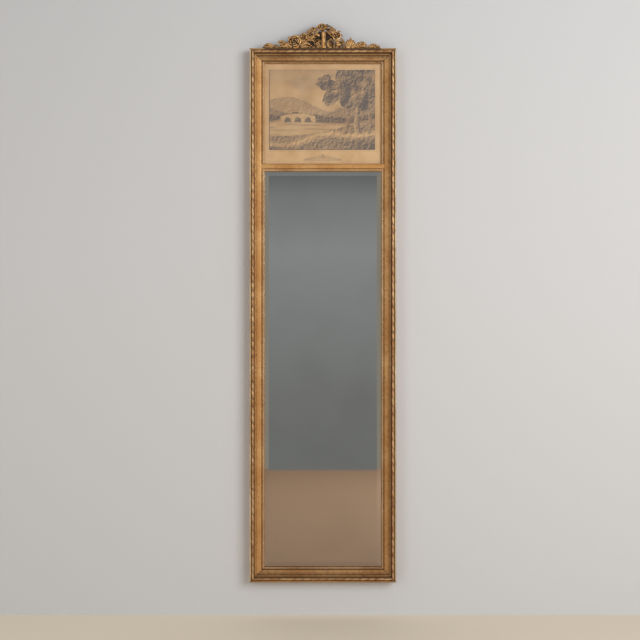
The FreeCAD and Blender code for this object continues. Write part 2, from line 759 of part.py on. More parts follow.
def makeMirror():
    """The mirror plate: a plain back part and a front part that tapers to the bevel."""
    reach = halfOpening + size["glass_overlap"] - size["rebate_clearance"]
    low = mirrorBottom - size["glass_overlap"] + size["rebate_clearance"]
    high = mirrorTop + size["glass_overlap"] - size["rebate_clearance"]
    front = depth(size["glass_rebate"])
    step = front + size["bevel_depth"]
    back = front + size["mirror_thickness"]
    plate = addBox("mirror_plate", (-reach, step, low), (reach, back, high))
    bevel = doc.addObject("Part::Wedge", "mirror_bevel")
    inner = size["bevel_width"]
    for name, value in (("Xmin", 0), ("Xmax", reach * 2), ("Ymin", 0), ("Ymax", size["bevel_depth"]),
                        ("Zmin", 0), ("Zmax", high - low),
                        ("X2min", inner), ("X2max", reach * 2 - inner),
                        ("Z2min", inner), ("Z2max", high - low - inner)):
        setSize(bevel, name, value)
    halfTurn = FreeCAD.Rotation(Z_AXIS, 180)
    place(bevel, (reach, step, low), halfTurn)
    fuse("mirror_glass", [plate, bevel])


def screwHoles(label, floor, places):
    """Tools for the play holes of screws that go forwards through a board."""
    radius = size["screw_radius"] + size["screw_hole_play"]
    return [addCylinder("%s_hole_%d" % (label, number), (x, floor, z), -Y_AXIS, radius,
                        size["board_rebate"] + 1)
            for number, (x, z) in enumerate(places, start=1)]


def makeBoards():
    """The thin panel behind the print and three boards behind the mirror."""
    reach = halfOpening + size["board_overlap"] - size["rebate_clearance"]
    floor = depth(size["board_rebate"])
    panelBack = floor + size["panel_thickness"]
    top = printTop + size["board_overlap"] - size["rebate_clearance"]
    panel = addBox("upper_panel_blank", (-reach, floor, railMiddle + size["board_gap"] / 2),
                   (reach, panelBack, top))
    cut("upper_back_panel", panel, screwHoles("upper_panel", panelBack + 1, panelScrews()))
    boardBack = floor + size["board_thickness"]
    for number, name in enumerate(boardNames):
        low, high = boardSpan(number)
        blank = addBox(name + "_blank", (-reach, floor, low), (reach, boardBack, high))
        cut(name, blank, screwHoles(name, boardBack + 1, boardScrews(number)))


def boardSpan(number):
    """Lower and upper edge of one of the three boards behind the mirror, counted downwards."""
    top = railMiddle - size["board_gap"] / 2
    bottom = mirrorBottom - size["board_overlap"] + size["rebate_clearance"]
    pitch = (top - bottom + size["board_gap"]) / len(boardNames)
    high = top - pitch * number
    return high - pitch + size["board_gap"], high


def boardHeights(number):
    """Heights of a board's side screws."""
    low, high = boardSpan(number)
    return [high - (high - low) / 6, low + (high - low) / 6]


def panelHeights():
    low = railMiddle
    return [low + (printTop - low) / 4, low + (printTop - low) * 3 / 4]


def sideScrewHeights():
    heights = panelHeights()
    for number in range(len(boardNames)):
        heights += boardHeights(number)
    return heights


def endScrewColumns():
    return [-halfOpening / 2, halfOpening / 2]


def panelScrews():
    """Places (x, z) of the screws in the upper panel."""
    sides = [(side * screwColumn, z) for side in (-1, 1) for z in panelHeights()]
    return sides + [(x, printTop + screwInset) for x in endScrewColumns()]


def boardScrews(number):
    places = [(side * screwColumn, z) for side in (-1, 1) for z in boardHeights(number)]
    if number == len(boardNames) - 1:
        places += [(x, mirrorBottom - screwInset) for x in endScrewColumns()]
    return places


def panHead(headRadius, headHeight, shankRadius, shankLength, slotWidth):
    """A slotted screw whose head stands on the plane z = 0 and whose shank goes down."""
    head = Part.makeCylinder(headRadius, headHeight)
    head = head.makeFillet(headHeight * 0.4, [edge for edge in head.Edges
                                              if edge.BoundBox.ZMin > headHeight / 2
                                              and edge.Closed])
    tip = shankRadius * 2
    shank = Part.makeCylinder(shankRadius, shankLength - tip, FreeCAD.Vector(), -Z_AXIS)
    point = Part.makeCone(shankRadius, shankRadius * 0.15, tip,
                          FreeCAD.Vector(0, 0, tip - shankLength), -Z_AXIS)
    slot = Part.makeBox(headRadius * 3, slotWidth, headHeight,
                        FreeCAD.Vector(-headRadius * 1.5, -slotWidth / 2, headHeight * 0.55))
    return head.fuse([shank, point]).removeSplitter().cut(slot)


def backScrew(shankLength):
    return panHead(size["screw_head_radius"].number, size["screw_head_height"].number,
                   size["screw_radius"].number, shankLength.number, size["screw_radius"].number / 2)


def copies(screw, places, direction):
    """Equal screws, each with its head's underside at a place and its head facing a direction."""
    turn = FreeCAD.Rotation(Z_AXIS, direction)
    result = []
    for position in places:
        copy = screw.copy()
        corner = FreeCAD.Vector(*[sized(value).number for value in position])
        copy.Placement = FreeCAD.Placement(corner, turn)
        result.append(copy)
    return result


def makeBackScrews():
    """The screws that go through the upper panel and the three boards into the frame."""
    floor = depth(size["board_rebate"])
    hold = size["screw_hold"]
    thickness = size["panel_thickness"]
    places = [(x, floor + thickness, z) for x, z in panelScrews()]
    screws = copies(backScrew(thickness + hold), places, Y_AXIS)
    thickness = size["board_thickness"]
    for number in range(len(boardNames)):
        places = [(x, floor + thickness, z) for x, z in boardScrews(number)]
        screws += copies(backScrew(thickness + hold), places, Y_AXIS)
    shaped("back_board_screws", Part.makeCompound(screws))


def packingBlocks(label, back, places):
    """Small blocks between the boards and what lies in the glass rebate; (x, z, along X or not)."""
    front = depth(size["board_rebate"]).number
    long = size["block_length"].number / 2
    wide = size["block_width"].number / 2
    blocks = []
    for x, z, level in places:
        reachX = long if level else wide
        reachZ = wide if level else long
        corner = FreeCAD.Vector(x.number - reachX, back.number, z.number - reachZ)
        blocks.append(Part.makeBox(2 * reachX, front - back.number, 2 * reachZ, corner))
    shaped(label, Part.makeCompound(blocks))


def makeBlocks():
    middle = size["glass_overlap"] / 2
    sides = [side * (halfOpening + middle) for side in (-1, 1)]
    mirrorBack = depth(size["glass_rebate"] - size["mirror_thickness"])
    height = mirrorTop - mirrorBottom
    places = [(x, mirrorBottom + height * (2 * row + 1) / 8, False) for x in sides for row in range(4)]
    places += [(x, z, True) for x in endScrewColumns() for z in (mirrorTop + middle, mirrorBottom - middle)]
    packingBlocks("mirror_packing_blocks", mirrorBack, places)
    sandwich = size["print_glass_thickness"] + size["print_sheet_thickness"] + size["backing_card_thickness"]
    height = printTop - printBottom
    places = [(x, printBottom + height * (2 * row + 1) / 4, False) for x in sides for row in range(2)]
    places += [(x, z, True) for x in endScrewColumns() for z in (printTop + middle, printBottom - middle)]
    packingBlocks("print_packing_blocks", depth(size["glass_rebate"] - sandwich), places)


# ---- Hangers and bumpers ----

def hangerColumn(side):
    return side * (halfWidth - size["hanger_inset"])


def makeStrap(label, side):
    """A steel strap with a rolled loop at its top, screwed to the back of a stile."""
    middle = hangerColumn(side)
    half = size["strap_width"] / 2
    back = depth(0)
    axis = back + pivotDepth
    bore = size["ring_wire_radius"] + size["ring_play"]
    thickness = size["strap_thickness"]
    plate = addBox(label + "_plate", (middle - half, back, pivotHeight - size["strap_length"]),
                   (middle + half, back + thickness, pivotHeight))
    start = (middle - half, axis, pivotHeight)
    roll = addCylinder(label + "_roll", start, X_AXIS, bore + thickness, half * 2)
    blank = fuse(label + "_blank", [plate, roll])
    eye = addCylinder(label + "_eye", (middle - half - 1, axis, pivotHeight), X_AXIS, bore, half * 2 + 2)
    radius = size["screw_radius"] + size["screw_hole_play"]
    holes = [addCylinder("%s_hole_%s" % (label, name), (middle, back + thickness + 1, pivotHeight - drop),
                         -Y_AXIS, radius, thickness + 2)
             for name, drop in (("upper", size["upper_strap_hole"]), ("lower", size["lower_strap_hole"]))]
    cut(label, blank, [eye] + holes)


def makeRing(label, side):
    """A ring of round wire, shaped like a D on its straight side, leaning on the frame's back."""
    wire = size["ring_wire_radius"].number
    half = size["ring_width"].number / 2
    height = size["ring_height"].number
    corner = size["ring_corner_radius"].number
    shoulder = height - half
    slant = corner * (1 - math.sqrt(0.5))

    def at(x, z):
        return FreeCAD.Vector(x, 0, z)

    edges = [
        Part.makeLine(at(corner - half, 0), at(half - corner, 0)),
        Part.Arc(at(half - corner, 0), at(half - slant, slant), at(half, corner)).toShape(),
        Part.makeLine(at(half, corner), at(half, shoulder)),
        Part.Arc(at(half, shoulder), at(0, height), at(-half, shoulder)).toShape(),
        Part.makeLine(at(-half, shoulder), at(-half, corner)),
        Part.Arc(at(-half, corner), at(slant - half, slant), at(corner - half, 0)).toShape(),
    ]
    section = Part.Wire(Part.makeCircle(wire, at(corner - half, 0), X_AXIS))
    shape = Part.Wire(edges).makePipeShell([section], True, False)
    lean = math.degrees(math.asin((pivotDepth.number - wire - size["ring_lean_gap"].number) / height))
    place(shaped(label, shape), (hangerColumn(side), depth(0) + pivotDepth, pivotHeight),
          FreeCAD.Rotation(X_AXIS, lean))


def bumperHeights():
    return [frameTop - size["bumper_inset"], frameBottom + size["bumper_inset"]]


def makeBumper(label, side, z):
    """A rubber bumper with a recess for the head of its tack."""
    x = hangerColumn(side)
    recess = depth(0) + size["wall_gap"] - size["bumper_recess"]
    blank = addCylinder(label + "_blank", (x, depth(0), z), Y_AXIS, size["bumper_radius"], size["wall_gap"])
    mouth = addCylinder(label + "_recess", (x, recess, z), Y_AXIS,
                        size["tack_head_radius"] + size["screw_hole_play"] * 2, size["bumper_recess"] + 1)
    hole = addCylinder(label + "_hole", (x, depth(0) - 1, z), Y_AXIS,
                       size["tack_radius"] + size["screw_hole_play"], size["wall_gap"])
    return blank, [mouth, hole]


def makeHangers():
    for name, side in (("left", -1), ("right", 1)):
        makeStrap(name + "_hanger_strap", side)
        makeRing(name + "_hanging_ring", side)
    for level, z in zip(("upper", "lower"), bumperHeights()):
        blanks = []
        tools = []
        for name, side in (("left", -1), ("right", 1)):
            blank, holes = makeBumper("%s_%s_bumper" % (level, name), side, z)
            blanks.append(blank)
            tools += holes
        cut(level + "_bumpers", fuse(level + "_bumper_blanks", blanks), tools)
    front = depth(0) + size["strap_thickness"]
    drops = [size["upper_strap_hole"], size["lower_strap_hole"]]
    places = [(hangerColumn(side), front, pivotHeight - drop) for side in (-1, 1) for drop in drops]
    screw = backScrew(size["strap_thickness"] + size["screw_hold"])
    shaped("hanger_screws", Part.makeCompound(copies(screw, places, Y_AXIS)))
    through = size["wall_gap"] - size["bumper_recess"] + size["tack_hold"]
    tack = panHead(size["tack_head_radius"].number, size["tack_head_height"].number,
                   size["tack_radius"].number, through.number, size["tack_radius"].number / 2)
    places = [(hangerColumn(side), -size["bumper_recess"], z) for side in (-1, 1) for z in bumperHeights()]
    shaped("bumper_tacks", Part.makeCompound(copies(tack, places, Y_AXIS)))


# ---- Crest: carvings in relief on a pierced board that stands on the top rail ----

crestBack = -size["crest_back"].number
crestFront = crestBack - size["crest_board_thickness"].number


def onCrest(x, z, rise=0):
    """A point on the front of the crest board, z above the frame's top."""
    return FreeCAD.Vector(x, crestFront - rise, frameTop.number + z)


def beside(plan, known, angle, radius):
    """Centre of a round carving that touches another one, in a direction given in degrees."""
    x, z, other = plan[known]
    reach = other + radius + size["carving_gap"].number
    return (x + reach * math.cos(math.radians(angle)), z + reach * math.sin(math.radians(angle)), radius)


def roundPlan():
    """Centre x, centre z and radius of each round carving, outwards from the torch."""
    gap = size["carving_gap"].number
    middle = size["torch_middle"].number
    half = size["torch_width"].number / 2
    plan = {}
    radius = size["left_volute_radius"].number
    plan["crest_left_volute"] = (middle - half - gap - radius, radius + gap, radius)
    left = middle - half - 2 * gap - 2 * radius - size["laurel_length"].number
    radius = size["rose_radius"].number
    plan["crest_rose"] = (left - gap - radius, radius, radius)
    radius = size["right_volute_radius"].number
    plan["crest_right_volute"] = (middle + half + gap + radius, radius + gap, radius)
    shell = size["shell_radius"].number
    plan["crest_shell_curl"] = (middle + half + 2 * radius + 4 * gap + shell, shell + gap, shell)
    plan["crest_small_blossom"] = beside(plan, "crest_rose", 28, size["small_blossom_radius"].number)
    plan["crest_blossom"] = beside(plan, "crest_small_blossom", 20, size["blossom_radius"].number)
    plan["crest_bud"] = beside(plan, "crest_blossom", 62, size["bud_radius"].number)
    plan["crest_garland_flower"] = beside(plan, "crest_shell_curl", 105, size["garland_radius"].number)
    crown = size["crown_radius"].number
    plan["crest_crown"] = (middle - size["crown_shift"].number,
                           size["torch_height"].number + gap + crown, crown)
    return plan


def archedLeaf(start, reach, lean, height, width, rise):
    """A leaf that grows from the rail, arches to a height and droops; reach is negative to the left
    and lean is where along it the arch pulls hardest."""
    foot = size["leaf_foot"].number
    tip = size["leaf_tip"].number
    bend = 2 * (height - width / 2) - (foot + tip) / 2
    return ((start, foot), (start + reach * lean, bend), (start + reach, tip), width, rise)


def leafPlan(plan):
    """Root, bend, tip, width and rise of each leaf; points are (x, z) above the frame's top."""
    gap = size["carving_gap"].number
    rise = size["leaf_rise"].number
    lowRise = size["low_leaf_rise"].number
    width = size["curl_width"].number
    lowWidth = size["end_leaf_width"].number
    curl = size["curl_length"].number
    curlLean = 0.6
    leaves = {}

    x, z, radius = plan["crest_left_volute"]
    start = x - radius - gap
    leaves["crest_laurel_leaf"] = archedLeaf(start, -size["laurel_length"].number, 0.5,
                                             size["laurel_height"].number,
                                             size["laurel_width"].number, rise)
    x, z, radius = plan["crest_rose"]
    start = x - radius - gap
    leaves["crest_left_curled_leaf"] = archedLeaf(start, -curl, curlLean,
                                                  size["left_curl_height"].number, width, rise)
    start = start - curl - size["left_end_gap"].number
    leaves["crest_left_end_leaf"] = archedLeaf(start, -size["left_end_leaf_length"].number, 0.5,
                                               size["left_end_leaf_height"].number, lowWidth, lowRise)

    wide = size["cluster_width"].number
    tall = size["cluster_height"].number
    x, z, radius = plan["crest_shell_curl"]
    start = x + radius + size["cluster_gap"].number + wide / 2
    leaves["crest_leaf_cluster"] = ((start, 3 * gap), (start, tall / 2), (start, tall), wide,
                                    size["cluster_rise"].number)
    start = start + wide / 2 + size["cluster_gap"].number
    leaves["crest_right_curled_leaf"] = archedLeaf(start, curl, curlLean,
                                                   size["right_curl_height"].number, width, rise)
    start = start + curl + size["right_end_gap"].number
    leaves["crest_right_end_leaf"] = archedLeaf(start, size["right_end_leaf_length"].number, 0.5,
                                                size["right_end_leaf_height"].number, lowWidth, lowRise)
    leaves.update(topLeafPlan(plan))
    return leaves


def topLeafPlan(plan):
    """The petal, the ribbon end and the strand about the torch's top."""
    clear = 4 * size["carving_gap"].number
    rise = size["leaf_rise"].number
    left = size["torch_middle"].number - size["torch_width"].number / 2
    right = size["torch_middle"].number + size["torch_width"].number / 2
    top = size["torch_height"].number
    x, z, radius = plan["crest_blossom"]
    width = size["petal_width"].number
    start = (x + radius + width / 2, z - width / 2)
    tip = (left - 2 * clear, top - clear)
    petal = (start, ((start[0] + tip[0]) / 2 + clear, (start[1] + tip[1]) / 2), tip, width, rise)
    x, z, radius = plan["crest_crown"]
    width = size["bow_width"].number
    start = (x + radius + clear, z + width / 4)
    tip = (right + size["bow_reach"].number, top + size["bow_lift"].number)
    bow = (start, ((start[0] + tip[0]) / 2, start[1]), tip, width, rise)
    start = (right + clear, top + clear / 2)
    tip = (right + size["strand_reach"].number, top - size["strand_drop"].number)
    strand = (start, ((start[0] + tip[0]) / 2, top), tip, size["strand_width"].number,
              size["low_leaf_rise"].number)
    return {"crest_petal": petal, "crest_ribbon_end": bow, "crest_strand": strand}


def leafOutline(t):
    """Share of a leaf's full width, from its root at 0 to its tip at 1."""
    rootPhase = 0.12
    tipPhase = 0.96
    return math.sin(math.pi * (rootPhase + (tipPhase - rootPhase) * t))


def torchOutline(t):
    """Share of the torch's full width: straight, then pointed over its last third."""
    pointShare = 0.15
    taper = 2.8
    return min(1, pointShare + taper * (1 - t))


def leafSolid(leaf, outline):
    """A carved leaf: sections with a round front along a curved midrib."""
    root, bend, tip, width, rise = leaf
    steps = 13
    leastRise = 0.25
    sections = []
    for index in range(steps):
        t = index / (steps - 1)
        x, z = [(1 - t) ** 2 * a + 2 * t * (1 - t) * b + t ** 2 * c for a, b, c in zip(root, bend, tip)]
        runX, runZ = [(1 - t) * (b - a) + t * (c - b) for a, b, c in zip(root, bend, tip)]
        run = math.hypot(runX, runZ)
        share = outline(t)
        half = width * share / 2
        sideX, sideZ = -runZ / run * half, runX / run * half
        sections.append(roundSection((x - sideX, z - sideZ), (x + sideX, z + sideZ),
                                     rise * (leastRise + (1 - leastRise) * share)))
    return Part.makeLoft(sections, True, True)


def roundSection(low, high, rise):
    """A closed section on the crest board: a chord on the board and half an ellipse in front of it."""
    steps = 6
    points = []
    for index in range(steps + 1):
        phase = math.pi * index / steps
        share = (1 - math.cos(phase)) / 2
        points.append(onCrest(low[0] + (high[0] - low[0]) * share, low[1] + (high[1] - low[1]) * share,
                              rise * math.sin(phase)))
    front = Part.BSplineCurve()
    front.interpolate(Points=points, InitialTangent=-Y_AXIS, FinalTangent=Y_AXIS)
    return Part.Wire([front.toShape(), Part.makeLine(points[-1], points[0])])


def scrollSolid(centre, turnsLeft):
    """A volute: a band that winds inwards and thins, round a small eye."""
    x, z, radius = centre
    steps = 27
    turns = 1.3
    band = 0.34 * radius
    innerReach = 0.3 * radius
    eye = 0.16 * radius
    rise = 0.5 * radius
    thinning = 0.45
    lowering = 0.3
    side = -1 if turnsLeft else 1
    sections = []
    for index in range(steps):
        t = index / (steps - 1)
        reach = (radius - band / 2) * (1 - t) + innerReach * t
        half = band * (1 - thinning * t) / 2
        angle = -math.pi / 2 + side * turns * 2 * math.pi * t
        across = (math.cos(angle), math.sin(angle))
        low, high = [(x + across[0] * r, z + across[1] * r) for r in (reach - half, reach + half)]
        sections.append(roundSection(low, high, rise * (1 - lowering * t)))
    wound = Part.makeLoft(sections, True, True)
    return Part.makeCompound([wound, frontHalf(Part.makeSphere(eye, onCrest(x, z)))])


def frontHalf(shape):
    """What of a shape stands in front of the crest board."""
    box = shape.BoundBox
    front = Part.makeBox(box.XLength + 2, crestFront - box.YMin + 1, box.ZLength + 2,
                         FreeCAD.Vector(box.XMin - 1, box.YMin - 1, box.ZMin - 1))
    return shape.common(front)


def flowerSolid(centre, lobes, turn):
    """A flower: a ring of rounded petals about a heart, the first petal at an angle in degrees."""
    x, z, radius = centre
    petal = 0.44 * radius
    heart = 0.5 * radius
    ring = radius - petal
    petals = []
    for index in range(lobes):
        angle = math.radians(turn) + 2 * math.pi * index / lobes
        petals.append(Part.makeSphere(petal, onCrest(x + ring * math.cos(angle), z + ring * math.sin(angle))))
    return frontHalf(Part.makeSphere(heart, onCrest(x, z)).fuse(petals).removeSplitter())


def stem(start, end, width):
    """A bar of the crest board between two points (x, z)."""
    runX, runZ = end[0] - start[0], end[1] - start[1]
    run = math.hypot(runX, runZ)
    sideX, sideZ = -runZ / run * width / 2, runX / run * width / 2
    back = FreeCAD.Vector(0, size["crest_board_thickness"].number, 0)
    corners = [onCrest(start[0] + sideX, start[1] + sideZ), onCrest(start[0] - sideX, start[1] - sideZ),
               onCrest(end[0] - sideX, end[1] - sideZ), onCrest(end[0] + sideX, end[1] + sideZ)]
    return Part.Face(Part.makePolygon(corners + corners[:1])).extrude(back)


def crestBoard(plan, leaves):
    """The pierced board behind the carvings: discs, stems and a strip along the rail."""
    thickness = size["crest_board_thickness"].number
    width = size["crest_stem_width"].number
    twig = size["crest_twig_width"].number
    middle = size["torch_middle"].number
    backing = 0.86
    parts = []
    for x, z, radius in plan.values():
        parts.append(Part.makeCylinder(radius * backing, thickness, onCrest(x, z), Y_AXIS))
    centre = {name: place[:2] for name, place in plan.items()}
    for first, second in (("crest_rose", "crest_small_blossom"), ("crest_small_blossom", "crest_blossom"),
                          ("crest_blossom", "crest_bud"), ("crest_garland_flower", "crest_shell_curl")):
        parts.append(stem(centre[first], centre[second], width))
    torchTop = (middle, size["torch_height"].number - width / 2)
    parts.append(stem((middle, 0), torchTop, size["torch_width"].number * backing))
    parts.append(stem(torchTop, centre["crest_crown"], width))
    parts.append(stem(centre["crest_blossom"], torchTop, twig))
    parts.append(stem(centre["crest_crown"], leaves["crest_ribbon_end"][2], twig))
    strandTip = leaves["crest_strand"][2]
    parts.append(stem(torchTop, strandTip, twig))
    parts.append(stem(strandTip, centre["crest_garland_flower"], twig))
    for name in ("crest_left_curled_leaf", "crest_right_curled_leaf", "crest_laurel_leaf",
                 "crest_leaf_cluster", "crest_left_end_leaf", "crest_right_end_leaf"):
        root, bend, tip, leafWidth, rise = leaves[name]
        x = (root[0] + 2 * bend[0] + tip[0]) / 4
        z = (root[1] + 2 * bend[1] + tip[1]) / 4
        parts.append(stem((x, 0), (x, z), leafWidth * backing))
    left = leaves["crest_left_end_leaf"][2][0]
    right = leaves["crest_right_end_leaf"][2][0]
    half = size["crest_base_height"].number / 2
    parts.append(stem((left, half), (right, half), 2 * half))
    board = parts[0].fuse(parts[1:]).removeSplitter()
    for x, z in bracketPlateScrews():
        base = FreeCAD.Vector(x, crestBack, frameTop.number + z)
        board = board.cut(Part.makeCylinder(size["bracket_screw_radius"].number,
                                            size["bracket_screw_hold"].number, base, -Y_AXIS))
    shaped("crest_board", board)


def bracketColumns():
    """Middles of the two brackets: behind the rose and behind the leaf cluster."""
    plan = roundPlan()
    return [plan["crest_rose"][0], leafPlan(plan)["crest_leaf_cluster"][0][0]]


def bracketFootScrews():
    """Places (x, y) of the screws that hold the brackets on the top rail."""
    y = crestBack + size["bracket_thickness"].number + size["bracket_reach"].number / 2
    side = size["bracket_width"].number * 0.27
    return [(x + shift, y) for x in bracketColumns() for shift in (-side, side)]


def bracketPlateScrews():
    """Places (x, z above the frame) of the screws that hold the crest board."""
    tall = size["bracket_height"].number
    return [(x, tall * share) for x in bracketColumns() for share in (0.4, 0.8)]


def makeBrackets():
    """Angle brackets of sheet steel: one leg on the top rail, one on the back of the crest board."""
    half = size["bracket_width"].number / 2
    thickness = size["bracket_thickness"].number
    play = size["bracket_screw_radius"].number + size["screw_hole_play"].number
    top = frameTop.number
    brackets = []
    for x in bracketColumns():
        leg = Part.makeBox(2 * half, thickness, size["bracket_height"].number,
                           FreeCAD.Vector(x - half, crestBack, top))
        foot = Part.makeBox(2 * half, size["bracket_reach"].number, thickness,
                            FreeCAD.Vector(x - half, crestBack, top))
        bracket = leg.fuse(foot).removeSplitter()
        for holeX, z in bracketPlateScrews():
            start = FreeCAD.Vector(holeX, crestBack - 1, top + z)
            bracket = bracket.cut(Part.makeCylinder(play, thickness + 2, start, Y_AXIS))
        for holeX, y in bracketFootScrews():
            start = FreeCAD.Vector(holeX, y, top - 1)
            bracket = bracket.cut(Part.makeCylinder(play, thickness + 2, start, Z_AXIS))
        brackets.append(bracket)
    shaped("crest_brackets", Part.makeCompound(brackets))
    screw = panHead(size["bracket_screw_head_radius"].number, size["bracket_screw_head_height"].number,
                    size["bracket_screw_radius"].number, thickness + size["bracket_screw_hold"].number,
                    size["bracket_screw_radius"].number / 2)
    screws = copies(screw, [(x, crestBack + thickness, top + z) for x, z in bracketPlateScrews()], Y_AXIS)
    screws += copies(screw, [(x, y, top + thickness) for x, y in bracketFootScrews()], Z_AXIS)
    shaped("crest_bracket_screws", Part.makeCompound(screws))


def makeCrest():
    plan = roundPlan()
    leaves = leafPlan(plan)
    crestBoard(plan, leaves)
    shaped("crest_left_volute", scrollSolid(plan["crest_left_volute"], False))
    shaped("crest_right_volute", scrollSolid(plan["crest_right_volute"], True))
    shaped("crest_shell_curl", scrollSolid(plan["crest_shell_curl"], True))
    for name, lobes, turn in (("crest_rose", 7, 90), ("crest_small_blossom", 5, 90), ("crest_blossom", 5, 50),
                              ("crest_bud", 3, 90), ("crest_garland_flower", 6, 20), ("crest_crown", 7, 90)):
        shaped(name, flowerSolid(plan[name], lobes, turn))
    for name, leaf in leaves.items():
        shaped(name, leafSolid(leaf, leafOutline))
    middle = size["torch_middle"].number
    tall = size["torch_height"].number
    foot = size["carving_gap"].number
    torch = ((middle, foot), (middle, tall / 2), (middle, tall), size["torch_width"].number,
             size["torch_rise"].number)
    shaped("crest_torch", leafSolid(torch, torchOutline))
    makeBrackets()


# ---- The pieces, checked and written one file each ----

NODES = [
    "left_stile", "right_stile", "top_rail", "bottom_rail", "middle_rail",
    "corner_keys", "middle_rail_dowels",
    "ribbon_left", "ribbon_right", "ribbon_top", "ribbon_bottom",
    "mirror_pearls_left", "mirror_pearls_right", "mirror_pearls_top", "mirror_pearls_bottom",
    "print_pearls_left", "print_pearls_right", "print_pearls_top",
    "mirror_glass", "mirror_packing_blocks",
    "mirror_back_board_upper", "mirror_back_board_middle", "mirror_back_board_lower", "back_board_screws",
    "print_glass", "print_sheet", "print_backing_card", "print_packing_blocks",
    "upper_back_panel",
    "left_hanger_strap", "right_hanger_strap", "left_hanging_ring", "right_hanging_ring", "hanger_screws",
    "upper_bumpers", "lower_bumpers", "bumper_tacks",
    "crest_board", "crest_torch", "crest_crown", "crest_left_volute", "crest_right_volute",
    "crest_shell_curl", "crest_rose", "crest_small_blossom", "crest_blossom", "crest_bud",
    "crest_petal", "crest_laurel_leaf", "crest_left_curled_leaf", "crest_left_end_leaf",
    "crest_garland_flower", "crest_ribbon_end", "crest_strand", "crest_leaf_cluster",
    "crest_right_curled_leaf", "crest_right_end_leaf",
    "crest_brackets", "crest_bracket_screws",
]


def checkDocument():
    """Stops if any object failed or any cut took nothing away."""
    for item in doc.Objects:
        if "Invalid" in item.State or "Error" in item.State:
            raise RuntimeError("%s failed: %s" % (item.Label, item.State))
        if item.TypeId in ("PartDesign::Pocket", "PartDesign::SubtractiveCylinder"):
            if item.Shape.Volume >= item.BaseFeature.Shape.Volume - 0.001:
                raise RuntimeError(item.Label + " cuts nothing")


def writeNodes():
    os.makedirs("parts", exist_ok=True)
    for name in NODES:
        shape = doc.getObjectsByLabel(name)[0].Shape
        if shape.isNull() or not shape.isValid() or not shape.Solids:
            raise RuntimeError(name + " has no valid shape")
    for name in NODES:
        doc.getObjectsByLabel(name)[0].Shape.exportStep("parts/%s.step" % name)
    print(len(NODES), "pieces written")


makeFrame()
makeJoinery()
makePearls()
makeRibbons()
makePrint()
makeMirror()
makeBoards()
makeBackScrews()
makeBlocks()
makeHangers()
makeCrest()
doc.recompute()
checkDocument()
writeNodes()
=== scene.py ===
import math

import bmesh
import bpy
import numpy as np
from mathutils import Matrix, Vector


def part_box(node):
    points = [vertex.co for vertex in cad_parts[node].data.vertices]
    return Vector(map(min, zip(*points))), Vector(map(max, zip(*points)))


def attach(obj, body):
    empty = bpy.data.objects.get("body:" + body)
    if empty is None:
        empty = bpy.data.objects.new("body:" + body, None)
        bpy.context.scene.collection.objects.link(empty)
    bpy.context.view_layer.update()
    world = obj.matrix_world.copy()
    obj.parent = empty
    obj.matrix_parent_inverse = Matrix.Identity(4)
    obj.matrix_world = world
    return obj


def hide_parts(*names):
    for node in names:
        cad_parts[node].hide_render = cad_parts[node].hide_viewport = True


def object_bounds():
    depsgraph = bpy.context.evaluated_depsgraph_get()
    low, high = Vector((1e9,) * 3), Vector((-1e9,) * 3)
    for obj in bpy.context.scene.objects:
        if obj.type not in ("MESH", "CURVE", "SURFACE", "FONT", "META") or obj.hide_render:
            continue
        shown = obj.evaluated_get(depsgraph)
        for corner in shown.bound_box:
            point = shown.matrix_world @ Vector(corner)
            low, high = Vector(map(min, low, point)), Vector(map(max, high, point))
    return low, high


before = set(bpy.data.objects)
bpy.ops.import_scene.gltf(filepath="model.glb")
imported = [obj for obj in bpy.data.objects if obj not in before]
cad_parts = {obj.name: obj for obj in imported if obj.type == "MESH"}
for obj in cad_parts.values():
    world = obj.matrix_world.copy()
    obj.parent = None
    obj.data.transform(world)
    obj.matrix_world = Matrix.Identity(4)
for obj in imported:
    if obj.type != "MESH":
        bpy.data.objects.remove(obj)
cadLow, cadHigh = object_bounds()
mm = 0.001


def say(text):
    print("[mirror] " + text)


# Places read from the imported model, in metres.
stileLow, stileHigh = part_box("left_stile")
railLow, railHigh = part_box("middle_rail")
topLow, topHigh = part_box("top_rail")
glassLow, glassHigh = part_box("mirror_glass")
sheetLow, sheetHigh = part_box("print_sheet")
boardLow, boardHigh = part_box("crest_board")
halfWidth = -stileLow[0]
frameBottom = stileLow[2]
frameTop = stileHigh[2]
frameBack = stileHigh[1]
mouldingWidth = stileHigh[0] - stileLow[0]
halfOpening = halfWidth - mouldingWidth


# Small helpers.

# A colour written as sRGB hex becomes the linear colour that a shader works in.
def colour(hexText):
    parts = [int(hexText[i:i + 2], 16) / 255 for i in (1, 3, 5)]
    return (*[c / 12.92 if c <= 0.04045 else ((c + 0.055) / 1.055) ** 2.4 for c in parts], 1)


# Adds a node with its settings; an input is a value or another node's output.
def addNode(tree, kind, inputs=None, **settings):
    node = tree.nodes.new(kind)
    for name, value in settings.items():
        setattr(node, name, value)
    for name, value in (inputs or {}).items():
        socket = node.inputs[name]
        if isinstance(value, bpy.types.NodeSocket):
            tree.links.new(value, socket)
        else:
            socket.default_value = value
    return node


def newMaterial(name):
    material = bpy.data.materials.new(name)
    material.use_nodes = True
    material.node_tree.nodes.clear()
    return material, material.node_tree


def linkSurface(tree, shader):
    output = addNode(tree, "ShaderNodeOutputMaterial")
    tree.links.new(shader, output.inputs["Surface"])


